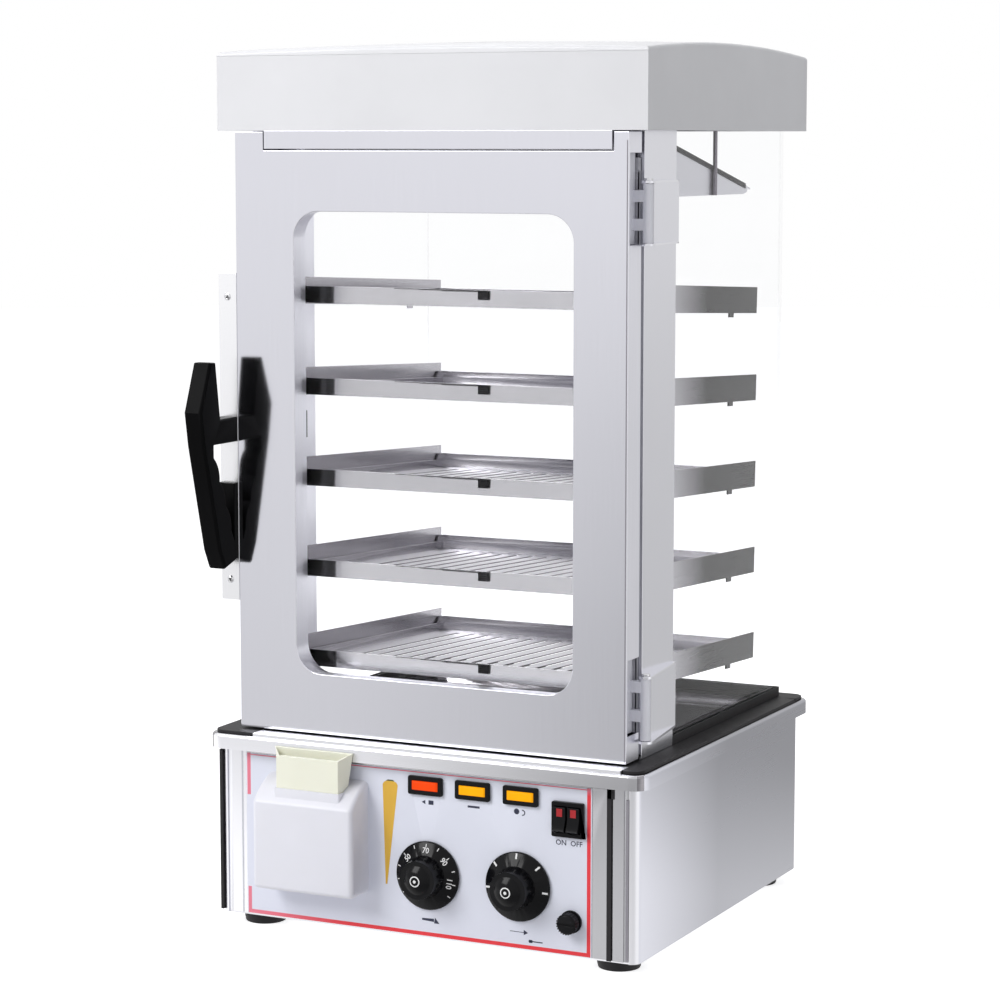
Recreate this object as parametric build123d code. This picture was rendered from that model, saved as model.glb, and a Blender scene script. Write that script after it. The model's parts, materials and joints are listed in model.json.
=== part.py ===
from build123d import *
import math
import os

# Countertop food steamer. Millimetres, +X to the viewer's right, +Y to the back, +Z up.
# The origin lies on the table under the middle of the base housing.

# General sheet metal and fits
sheet = 1.2  # stainless sheet of housing, cabinet and door
seat_gap = 0.3  # gap beside a seated or moving piece
running_gap = 0.05  # radial gap of a shaft or pin in its bore
overrun = 5.0  # how far a cut runs past what it cuts

# Base housing
housing_width = 370.0
housing_depth = 345.0
housing_corner = 8.0
foot_height = 10.0
foot_radius = 18.5
foot_base_radius = 16.5
foot_inset = 26.5
front_return = 7.4  # how far a side panel wraps on to the front
rear_return = 20.0
column_width = 9.2  # corner column of the front frame
column_gap = 4.1  # shadow gap on both sides of a column
frame_window_inset = 14.0
frame_window_bottom = 14.0
frame_window_top = 8.6

# Water tank with its rolled rim
rim_top = 159.0
rim_overhang = 8.0
rim_lip = 12.0
rim_corner = 14.0
rim_roll = 2.5
well_side_inset = 25.0  # from the housing's side to the well's
well_front_inset = 44.5
well_back_inset = 22.5
well_corner = 20.0
ledge_drop = 9.0
ledge_width = 6.0
well_depth = 63.0

# Front panel and fascia
panel_gap = 0.4  # gap over and under the front panel
panel_drop = 2.0  # how far the panel's top stays below the rim's lip
fascia_thickness = 0.6
fascia_left_inset = 25.4  # from the housing's side
fascia_right_share = 0.7946  # of half the housing's width, as all these places across the front
fascia_margin = 0.8

# Indicator lamps
lamp_shares = (0.02324, 0.24649, 0.47135)
lamp_height_share = 0.83522  # of the rim's height, as all these heights on the front
bezel_width = 30.0
bezel_height = 14.8
bezel_depth = 2.6
bezel_corner = 1.6
lens_width = 25.0
lens_height = 9.8
lens_stand = 1.2
lens_chamfer = 0.9
lamp_body_depth = 20.0

# Switch with two rockers
switch_share = 0.69027
switch_height_share = 0.74528
switch_width = 26.8
switch_height = 27.6
switch_bezel = 3.4
switch_corner = 1.5
switch_body_width = 23.6
switch_body_height = 24.4
switch_body_depth = 22.0
rocker_width = 10.0
rocker_radius = 10.0
rocker_spacing = 11.6
rocker_face = 2.4  # from the pivot to the face of a rocker
rocker_angle = 10.0
rocker_pivot_depth = 0.6  # pivot behind the bezel's face
switch_cavity_floor = 1.5

# Dial knobs on the thermostat and the heat regulator
thermostat_share = 0.03459
regulator_share = 0.45946
knob_height_share = 0.38553
shaft_radius = 3.0
bush_radius = 5.0
skirt_radius = 27.5
skirt_edge = 2.4
skirt_chamfer = 1.0
skirt_cone = 3.0
grip_radius = 17.0
grip_top_radius = 15.2
grip_height = 14.0
grip_flutes = 14
flute_radius = 2.6
flute_rest = 1.2
dome_radius = 11.5
dome_height = 4.0
knob_stand = 1.0
shaft_socket = 12.0
shaft_tail = 14.0
thermostat_radius = 19.0
thermostat_depth = 22.0
regulator_size = 38.0
regulator_depth = 26.0

# Fuse holder
fuse_share = 0.7027
fuse_height_share = 0.24151
fuse_collar_radius = 9.0
fuse_collar = 2.0
fuse_body_radius = 6.5
fuse_body_depth = 26.0
fuse_cap_radius = 7.9
fuse_cap_height = 9.0
fuse_stem_radius = 4.0
fuse_stem = 9.0
fuse_slot_width = 1.6
fuse_slot_depth = 1.4

# Water filling box with its funnel
box_left_share = -0.74595
box_right_share = -0.25676
box_bottom_share = 0.25786
box_front_depth = 28.0
box_shoulder_low_share = 0.7044
box_shoulder_high_share = 0.82704
box_shoulder_bulge = 2.3
box_round = 4.0
box_wall = 2.0
funnel_left_share = -0.64054
funnel_right_share = -0.33784
funnel_back_gap = 1.0  # gap between the funnel and the rim's lip
funnel_depth = 13.8
funnel_flare_left = 9.0
funnel_flare_right = 6.0
funnel_foot_share = 0.73585
funnel_front_share = 0.94025
funnel_back_share = 0.96981
funnel_wall = 1.6
collar_top_share = 0.77862
collar_wall = 1.5
pipe_height_share = 0.66667
pipe_radius = 6.0
pipe_bore = 4.8
pipe_inlet = 1.0
pipe_outlet = 3.0

# Heating element and level probe
element_radius = 4.0
element_rise = 16.0  # over the well's floor
element_tail_x = 25.0
element_side = 45.0  # from the well's side to the outer runs
element_near = 34.0  # from the well's front wall to the nearer runs
element_far = 34.0  # from the well's back wall to the farther run
element_bend = 22.0
element_flange_radius = 7.5
element_flange = 2.0
element_tail = 22.0
probe_side = 32.0  # from the well's side
probe_drop = 16.0  # under the rim's top
probe_radius = 4.5
probe_length = 9.0
probe_nut_radius = 7.0
probe_nut = 4.0

# Drain valve, lever and cord gland on the rear panel
valve_rise = 12.0  # over the well's floor
valve_pipe_radius = 7.0
valve_body_radius = 11.0
valve_body_start = 3.0
valve_body_length = 26.0
valve_neck_radius = 5.0
valve_neck = 6.0
spout_reach = 10.7
spout_radius = 6.0
spout_bore = 3.6
spout_length = 24.0
hose_end_radius = 5.0
hose_end_length = 17.0
lever_length = 36.0
lever_width = 12.0
lever_thickness = 3.0
lever_hub_radius = 7.0
valve_stem_radius = 2.5
gland_share = 0.64865
gland_rise = 26.0  # over the bottom plate
gland_thread_radius = 8.0
gland_nut_radius = 12.0
gland_nut = 5.0
gland_collar_radius = 11.0
gland_collar = 6.0
gland_dome_radius = 7.0
gland_dome = 10.0
gland_bore = 4.2
louvre_columns = 3
louvre_rows = 6
louvre_width = 62.0
louvre_height = 3.0
louvre_share = 0.45405  # of half the housing's width, from one column of louvres to the next
louvre_step_z = 8.0
louvre_height_share = 0.28931

# Steam cabinet
cabinet_side_inset = 14.0  # from the housing's side to the cabinet's
cabinet_height = 488.5
cabinet_front_inset = 38.5
cabinet_back_inset = 11.5
seal_thickness = 2.5
seal_edge = 4.0  # from the rim's edge to the seal
seal_inner = 3.0  # from the well's edge to the seal
post_width = 21.0
post_depth = 61.5
glass_thickness = 4.0
glass_in_post = 20.0
pane_channel = 7.2
pane_channel_height = 8.0
pane_channel_floor = 3.0
crossbar_depth = 16.0
sill_height = 14.5
header_height = 50.0
ceiling_skirt = 7.4

# Cap over the cabinet
cap_side_overlap = 15.0
cap_front_overlap = 29.5
cap_back_overlap = 10.5
cap_skirt = 7.6  # how far the cap reaches down past the ceiling
cap_height = 61.4  # at the cap's corners
cap_arch_across = 3.0
cap_arch_along = 6.7
cap_turn_share = 1.5  # how far the arched block is turned out past the cap's sides
cap_round = 3.0

# Condensate baffle and its rods
baffle_side_gap = 4.0  # from the posts
baffle_front_gap = 22.0
baffle_back_gap = 13.0
baffle_tip_drop = 55.5  # under the ceiling
baffle_drop = 59.5
baffle_heel = 22.0  # length of the slanting corner under the tip
baffle_top_gap = 0.3
baffle_tip_round = 3.0
rod_radius = 1.8
rod_setback = 102.0  # from the cabinet's back

# Trays and the arms that carry them
tray_count = 5
tray_pitch_share = 0.15087  # of the cabinet's height
tray_tilt = 3.0  # the trays drain to the back
first_tray_share = 0.09847  # underside of the lowest arm at the tray's front
tray_front_gap = 7.0
tray_back_gap = 9.0
tray_side_gap = 1.0
tray_sheet = 1.0
tray_flange = 13.6
tray_side_flange = 8.0
arm_height = 22.0
arm_lip = 9.0
arm_back_gap = 11.0
arm_stop_width = 10.0
arm_stop_drop = 3.5
arm_stop_setback = 62.0  # from the arm's back end
slot_count = 18
slot_width = 4.4
slot_side_margin = 21.5
slot_margin = 16.0

# Door
door_left_gap = 0.7  # from the cabinet's side
door_right_gap = 0.3
door_bottom_gap = 1.7
door_top_gap = 8.5
door_stand = 5.0  # from the posts to the door's back
door_depth = 24.0
door_corner = 2.5
notch_left_inset = 25.6
notch_right_inset = 12.5
notch_depth = 14.2
notch_gap = 1.2
window_left_frame = 52.8  # width of the door's frame beside the window
window_right_frame = 45.2
window_bottom_frame = 48.3
window_top_frame = 62.0
window_corner = 22.0
reveal_depth = 12.0
pane_margin = 6.0
door_pane = 4.0
inner_frame_margin = 3.0
gasket_width = 10.0
gasket_inset = 3.0
gasket_rise = 1.8
gasket_drop = 6.2

# Handle on the door's free edge
plate_width = 16.5
plate_thickness = 1.6
plate_leg = 20.0
plate_proud = 0.2  # how far the plate stands in front of the door
plate_rise = 103.3  # over the door's bottom
plate_height = 263.5
handle_width = 16.3
handle_edge = 1.6
handle_rise = 27.5  # over the plate's bottom
handle_height = 166.5
handle_foot_share = 0.40841  # of the handle's height, as the next ones
handle_stem_low_share = 0.60661
handle_stem_high_share = 0.72673
handle_knee_share = 0.76877
handle_knee_reach = 55.0
handle_top_reach = 40.0
handle_top_inner = 31.0
handle_stem_inner = 24.5
handle_grip_inner = 36.0
handle_grip_reach = 50.5
handle_low_share = 0.0961
handle_low_reach = 28.5
handle_bottom_reach = 20.5
handle_foot_reach = 6.3
wave_share = 0.12012
wave_depth = 3.0
wave_step = 8.5

# Hinges on the right
hinge_side = 6.5  # from the cabinet's side to the pins
hinge_front = 8.0  # from the cabinet's front to the pins
hinge_pin_radius = 2.0
hinge_barrel_radius = 4.0
hinge_ear_radius = 5.5
hinge_ear = 2.0
hinge_leaf_depth = 60.5
hinge_leaf_inset = 11.0
hinge_leaf = 2.5
hinge_pin_head = 1.6
hinge_pin_head_radius = 3.6
hinge_arm_height = 8.8
hinge_arm_depth = 6.0
hinge_plate_inset = 5.0
hinge_plate = 2.0
lower_leaf_rises = (13.3, 65.8)  # over the door's bottom
lower_recess_rises = (20.8, 79.3)
lower_arm_rises = (34.5, 57.0)
upper_leaf_drops = (85.5, 36.5)  # under the door's top
upper_recess_drops = (84.5, 16.0)
upper_arm_drops = (69.5, 48.1)
recess_front_gap = 1.3

# Magnetic catch
catch_share = 0.50051  # of the cabinet's height, over its floor
catch_height = 22.0
catch_width = 12.0
catch_depth = 26.0
strike_width = 10.0
strike_height = 18.0
strike_step = 1.0

# Places worked out from the sizes above
half_w = housing_width / 2
half_d = housing_depth / 2
front_y = -half_d
rear_y = half_d
flange_under = rim_top - sheet
lip_bottom = rim_top - rim_lip
panel_front = front_y
panel_back = front_y + sheet
fascia_front = front_y - fascia_thickness

well_width = housing_width - 2 * well_side_inset
well_front = front_y + well_front_inset
well_back = rear_y - well_back_inset
well_floor = rim_top - well_depth
element_half_width = well_width / 2 - element_side
element_z = well_floor + element_rise
probe_x = well_width / 2 - probe_side
probe_z = rim_top - probe_drop

fascia_left = fascia_left_inset - half_w
fascia_right = fascia_right_share * half_w
lamp_places = [share * half_w for share in lamp_shares]
lamp_height = lamp_height_share * rim_top
switch_x = switch_share * half_w
switch_z = switch_height_share * rim_top
thermostat_x = thermostat_share * half_w
regulator_x = regulator_share * half_w
knob_places = (thermostat_x, regulator_x)
knob_z = knob_height_share * rim_top
fuse_x = fuse_share * half_w
fuse_z = fuse_height_share * rim_top
box_left = box_left_share * half_w
box_right = box_right_share * half_w
box_bottom = box_bottom_share * rim_top
box_shoulder_low = box_shoulder_low_share * rim_top
box_shoulder_high = box_shoulder_high_share * rim_top
funnel_left = funnel_left_share * half_w
funnel_right = funnel_right_share * half_w
funnel_foot = funnel_foot_share * rim_top
funnel_front_top = funnel_front_share * rim_top
funnel_back_top = funnel_back_share * rim_top
collar_top = collar_top_share * rim_top
pipe_z = pipe_height_share * rim_top
valve_z = well_floor + valve_rise
gland_x = gland_share * half_w
gland_z = foot_height + gland_rise
louvre_step_x = louvre_share * half_w
louvre_low = louvre_height_share * rim_top

cabinet_half = half_w - cabinet_side_inset
cabinet_front = front_y + cabinet_front_inset
cabinet_back = rear_y - cabinet_back_inset
cabinet_floor = rim_top + seal_thickness
ceiling_z = cabinet_floor + cabinet_height
header_bottom = ceiling_z - header_height
post_inner = cabinet_half - post_width
glass_outer = cabinet_half - sheet
glass_inner = glass_outer - glass_thickness
cap_front = cabinet_front - cap_front_overlap
cap_back = cabinet_back + cap_back_overlap
cap_bottom = ceiling_z - cap_skirt
cap_edge = cap_bottom + cap_height
baffle_half_width = post_inner - baffle_side_gap
baffle_front = cabinet_front + baffle_front_gap
baffle_tip = cabinet_back - baffle_back_gap
baffle_tip_z = ceiling_z - baffle_tip_drop
baffle_bottom = ceiling_z - baffle_drop
rod_y = cabinet_back - rod_setback

tray_pitch = tray_pitch_share * cabinet_height
first_tray_z = cabinet_floor + first_tray_share * cabinet_height
tray_front = cabinet_front + tray_front_gap
tray_back = cabinet_back - tray_back_gap
tray_half = post_inner - sheet - tray_side_gap
slot_pitch = (2 * tray_half - 2 * slot_side_margin - slot_width) / (slot_count - 1)
arm_back = cabinet_back - arm_back_gap
arm_stop_y = arm_back - arm_stop_setback

door_left = door_left_gap - cabinet_half
door_right = cabinet_half - door_right_gap
door_bottom = cabinet_floor + door_bottom_gap
door_top = ceiling_z - door_top_gap
door_back = cabinet_front - door_stand
door_front = door_back - door_depth
notch_left = door_left + notch_left_inset
notch_right = door_right - notch_right_inset
notch_bottom = cap_bottom - notch_depth
window_left = door_left + window_left_frame
window_right = door_right - window_right_frame
window_bottom = door_bottom + window_bottom_frame
window_top = door_top - window_top_frame
gasket_side = cabinet_half - gasket_inset
gasket_bottom = door_bottom + gasket_rise
gasket_top = notch_bottom - gasket_drop

handle_face = door_front - plate_proud
plate_bottom = door_bottom + plate_rise
plate_top = plate_bottom + plate_height
handle_bottom = plate_bottom + handle_rise
handle_top = handle_bottom + handle_height
handle_foot_top = handle_bottom + handle_foot_share * handle_height
handle_stem_low = handle_bottom + handle_stem_low_share * handle_height
handle_stem_high = handle_bottom + handle_stem_high_share * handle_height
handle_knee = handle_bottom + handle_knee_share * handle_height
handle_low = handle_bottom + handle_low_share * handle_height
wave_length = wave_share * handle_height

hinge_x = cabinet_half + hinge_side
hinge_y = cabinet_front - hinge_front
hinge_leaf_back = cabinet_front + hinge_leaf_depth
hinge_leaf_front = cabinet_front + hinge_leaf_inset
lower_leaf = [door_bottom + rise for rise in lower_leaf_rises]
lower_recess = [door_bottom + rise for rise in lower_recess_rises]
lower_arms = [door_bottom + rise for rise in lower_arm_rises]
upper_leaf = [door_top - drop for drop in upper_leaf_drops]
upper_recess = [door_top - drop for drop in upper_recess_drops]
upper_arms = [door_top - drop for drop in upper_arm_drops]
catch_z = cabinet_floor + catch_share * cabinet_height


def slab(x0, x1, y0, y1, z0, z1):
    """A block between two opposite corners."""
    place = Pos((x0 + x1) / 2, (y0 + y1) / 2, (z0 + z1) / 2)
    return place * Box(x1 - x0, y1 - y0, z1 - z0)


def disc_y(x, z, y0, y1, radius):
    """A cylinder along Y."""
    return Pos(x, (y0 + y1) / 2, z) * Rot(X=90) * Cylinder(radius, y1 - y0)


def disc_z(x, y, z0, z1, radius):
    """A cylinder along Z."""
    return Pos(x, y, (z0 + z1) / 2) * Cylinder(radius, z1 - z0)


def side_profile(points, x0, x1):
    """A (Y, Z) outline drawn out along X."""
    face = make_face(Polyline(*points, close=True))
    return extrude(Plane.YZ.offset(x0) * face, amount=x1 - x0)


def front_shape(sketch, y0, y1):
    """A sketch in (X, Z) drawn out along Y."""
    return extrude(Plane.XZ.offset(-y1) * sketch, amount=y1 - y0)


def plan_shape(sketch, z0, z1):
    """A sketch in (X, Y) drawn out along Z."""
    return extrude(Plane.XY.offset(z0) * sketch, amount=z1 - z0)


def span_rect(u0, u1, v0, v1, radius=0):
    """A rectangle between two corners, with round corners where a radius is given."""
    place = Pos((u0 + u1) / 2, (v0 + v1) / 2)
    if radius > 0:
        return place * RectangleRounded(u1 - u0, v1 - v0, radius)
    return place * Rectangle(u1 - u0, v1 - v0)


def mirrored(shape):
    """The same piece on the other side of the middle plane."""
    return mirror(shape, about=Plane.YZ)


def base_housing():
    """Side panels, rear panel, bottom plate, feet and front frame."""
    pieces = {}
    outer = span_rect(-half_w, half_w, -half_d, half_d, housing_corner)
    inner = span_rect(
        -half_w + sheet, half_w - sheet, -half_d + sheet, half_d - sheet, housing_corner - sheet
    )
    wall = plan_shape(outer - inner, foot_height, flange_under)
    front_cut = slab(
        -half_w, half_w - front_return, -half_d - overrun, 0, 0, rim_top
    )
    rear_cut = slab(-half_w, half_w - rear_return, -overrun, half_d + overrun, 0, rim_top)
    left_half = slab(-half_w - overrun, 0, -half_d - overrun, half_d + overrun, 0, rim_top)
    right_side = wall - front_cut - rear_cut - left_half
    pieces["base_side_right"] = right_side
    pieces["base_side_left"] = mirrored(right_side)

    inside = plan_shape(
        span_rect(
            -half_w + sheet + seat_gap, half_w - sheet - seat_gap,
            front_y + sheet, rear_y - sheet, housing_corner - sheet - seat_gap,
        ),
        0, rim_top,
    )
    rear_inner = rear_y - sheet
    rear = inside & slab(
        -half_w + sheet + seat_gap, half_w - sheet - seat_gap,
        rear_inner - sheet, rear_inner, foot_height + sheet, flange_under,
    )
    for column in range(louvre_columns):
        middle = (column - (louvre_columns - 1) / 2) * louvre_step_x
        for row in range(louvre_rows):
            low = louvre_low + row * louvre_step_z
            slot = span_rect(
                middle - louvre_width / 2, middle + louvre_width / 2, low, low + louvre_height
            )
            rear -= front_shape(slot, rear_inner - sheet - overrun, rear_inner + overrun)
    for x, z, radius in (
        (0, valve_z, valve_pipe_radius + seat_gap),
        (gland_x, gland_z, gland_thread_radius + seat_gap),
    ):
        rear -= disc_y(x, z, rear_inner - sheet - overrun, rear_inner + overrun, radius)
    pieces["base_rear_panel"] = rear

    floor_x = half_w - sheet - seat_gap
    floor_y = half_d - sheet - seat_gap
    pieces["base_plate"] = plan_shape(
        span_rect(-floor_x, floor_x, -floor_y, floor_y, housing_corner - sheet),
        foot_height, foot_height + sheet,
    )

    feet = []
    foot_x = half_w - foot_inset
    foot_y = half_d - foot_inset
    for x in (-foot_x, foot_x):
        for y in (-foot_y, foot_y):
            puck = Cone(foot_base_radius, foot_radius, foot_height)
            feet.append(Pos(x, y, foot_height / 2) * puck)
    pieces["feet"] = Compound(children=feet)

    frame_front = panel_back
    frame_x = half_w - sheet - seat_gap
    frame = slab(
        -frame_x, frame_x, frame_front, frame_front + sheet, foot_height + sheet, flange_under
    )
    column_in = half_w - front_return - column_gap - column_width
    window = slab(
        -column_in + frame_window_inset, column_in - frame_window_inset,
        frame_front - overrun, frame_front + overrun,
        foot_height + frame_window_bottom, lip_bottom - frame_window_top,
    )
    frame = (frame & inside) - window
    for side in (-1, 1):
        inner_x, outer_x = side * column_in, side * (column_in + column_width)
        frame += slab(
            min(inner_x, outer_x), max(inner_x, outer_x),
            panel_front, frame_front, foot_height + sheet, flange_under,
        )
    pieces["base_front_frame"] = frame
    return pieces


def front_panel_cuts(y0, y1, extra):
    """What passes through the front panel, each hole larger by the extra gap."""
    cuts = []
    for x in lamp_places:
        cuts.append(slab(
            x - lens_width / 2 - extra, x + lens_width / 2 + extra, y0, y1,
            lamp_height - lens_height / 2 - extra, lamp_height + lens_height / 2 + extra,
        ))
    cuts.append(slab(
        switch_x - switch_body_width / 2 - extra, switch_x + switch_body_width / 2 + extra, y0, y1,
        switch_z - switch_body_height / 2 - extra, switch_z + switch_body_height / 2 + extra,
    ))
    for x in knob_places:
        cuts.append(disc_y(x, knob_z, y0, y1, bush_radius + extra))
    cuts.append(disc_y(fuse_x, fuse_z, y0, y1, fuse_body_radius + extra))
    cuts.append(disc_y((box_left + box_right) / 2, pipe_z, y0, y1, pipe_radius + extra))
    return cuts


def front_panels():
    """Removable front panel and the printed sheet on it."""
    panel_half = half_w - front_return - 2 * column_gap - column_width
    panel = slab(
        -panel_half, panel_half, panel_front, panel_back,
        foot_height + sheet + panel_gap, lip_bottom - panel_drop,
    )
    fascia = slab(
        fascia_left, fascia_right, fascia_front, panel_front,
        foot_height + sheet + fascia_margin, lip_bottom - panel_drop - fascia_margin,
    )
    for cut in front_panel_cuts(fascia_front - overrun, panel_back + overrun, seat_gap):
        panel -= cut
        fascia -= cut
    return {"front_panel": panel, "fascia": fascia}


def water_tank():
    """Rolled rim, ledge and well, pressed in one sheet."""
    rim_x = half_w + rim_overhang
    rim_y = half_d + rim_overhang
    rim = plan_shape(span_rect(-rim_x, rim_x, -rim_y, rim_y, rim_corner), lip_bottom, rim_top)
    rim = fillet(rim.faces().sort_by(Axis.Z)[-1].edges(), rim_roll)
    hollow = plan_shape(
        span_rect(
            -rim_x + sheet, rim_x - sheet, -rim_y + sheet, rim_y - sheet, rim_corner - sheet
        ),
        lip_bottom - overrun, flange_under,
    )
    ledge_z = rim_top - ledge_drop
    upper = well_width / 2
    lower = upper - ledge_width
    body = rim - hollow
    body += plan_shape(
        span_rect(-upper - sheet, upper + sheet, well_front - sheet, well_back + sheet, well_corner),
        ledge_z - sheet, flange_under,
    )
    body += plan_shape(
        span_rect(
            -lower - sheet, lower + sheet,
            well_front + ledge_width - sheet, well_back - ledge_width + sheet, well_corner,
        ),
        well_floor - sheet, ledge_z - sheet,
    )
    body -= plan_shape(
        span_rect(-upper, upper, well_front, well_back, well_corner - sheet),
        ledge_z, rim_top + overrun,
    )
    body -= plan_shape(
        span_rect(
            -lower, lower, well_front + ledge_width, well_back - ledge_width, well_corner - sheet
        ),
        well_floor, ledge_z,
    )
    inner_front = well_front + ledge_width
    for x in (-element_tail_x, element_tail_x):
        body -= disc_y(
            x, element_z, inner_front - sheet - overrun, inner_front + overrun,
            element_radius + running_gap,
        )
    body -= disc_y(
        (box_left + box_right) / 2, pipe_z, inner_front - sheet - overrun,
        inner_front + overrun, pipe_radius + running_gap,
    )
    inner_back = well_back - ledge_width
    body -= disc_y(
        0, valve_z, inner_back - overrun, inner_back + sheet + overrun,
        valve_pipe_radius + running_gap,
    )
    body -= disc_y(
        probe_x, probe_z, inner_back - overrun, inner_back + sheet + overrun,
        probe_radius + running_gap,
    )
    return {"water_tank": body}


def tank_fittings():
    """Heating element, level probe and filling pipe."""
    inner_front = well_front + ledge_width
    inner_back = well_back - ledge_width
    near = well_front + element_near
    far = well_back - element_far
    tail_y = inner_front - element_tail
    path = FilletPolyline(
        (-element_tail_x, tail_y, element_z),
        (-element_tail_x, near, element_z),
        (-element_half_width, near, element_z),
        (-element_half_width, far, element_z),
        (element_half_width, far, element_z),
        (element_half_width, near, element_z),
        (element_tail_x, near, element_z),
        (element_tail_x, tail_y, element_z),
        radius=element_bend,
    )
    section = Plane(origin=path @ 0, z_dir=path % 0) * Circle(element_radius)
    element = sweep(section, path=path)
    for x in (-element_tail_x, element_tail_x):
        element += disc_y(
            x, element_z, inner_front, inner_front + element_flange, element_flange_radius
        )
    probe = disc_y(
        probe_x, probe_z, inner_back - probe_length, inner_back + sheet + probe_nut, probe_radius
    )
    probe += disc_y(
        probe_x, probe_z, inner_back - probe_nut, inner_back, probe_nut_radius
    )
    middle = (box_left + box_right) / 2
    box_back = fascia_front
    start = box_back - box_wall - pipe_inlet
    end = inner_front + pipe_outlet
    pipe = disc_y(middle, pipe_z, start, end, pipe_radius)
    pipe -= disc_y(middle, pipe_z, start - overrun, end + overrun, pipe_bore)
    return {"heating_element": element, "level_probe": probe, "fill_pipe": pipe}


def knob(x):
    """Dial knob: a skirt for the scale, a fluted grip and a domed middle."""
    back = fascia_front - knob_stand
    skirt_front = back - skirt_edge
    cone_front = skirt_front - skirt_cone
    grip_front = cone_front - grip_height
    dome_front = grip_front - dome_height
    ball = (dome_radius * dome_radius + dome_height * dome_height) / (2 * dome_height)
    half_angle = math.asin(dome_radius / ball) / 2
    dome_arc = ThreePointArc(
        (dome_radius, grip_front),
        (ball * math.sin(half_angle), dome_front + ball - ball * math.cos(half_angle)),
        (0, dome_front),
    )
    outline = Polyline(
        (0, back),
        (skirt_radius, back),
        (skirt_radius, skirt_front + skirt_chamfer),
        (skirt_radius - skirt_chamfer, skirt_front),
        (grip_radius, cone_front),
        (grip_top_radius, grip_front),
        (dome_radius, grip_front),
    )
    axis_line = Line((0, dome_front), (0, back))
    face = make_face([outline.wire(), dome_arc, axis_line])
    body = revolve(face, axis=Axis.Y)
    for index in range(grip_flutes):
        angle = math.radians(360 * (index + 0.5) / grip_flutes)
        reach = grip_radius + flute_radius / 2
        body -= disc_y(
            reach * math.cos(angle), reach * math.sin(angle),
            grip_front - overrun, cone_front - flute_rest, flute_radius,
        )
    body -= disc_y(0, 0, back - shaft_socket, back + overrun, shaft_radius + running_gap / 2)
    return Pos(x, 0, knob_z) * body


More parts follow.
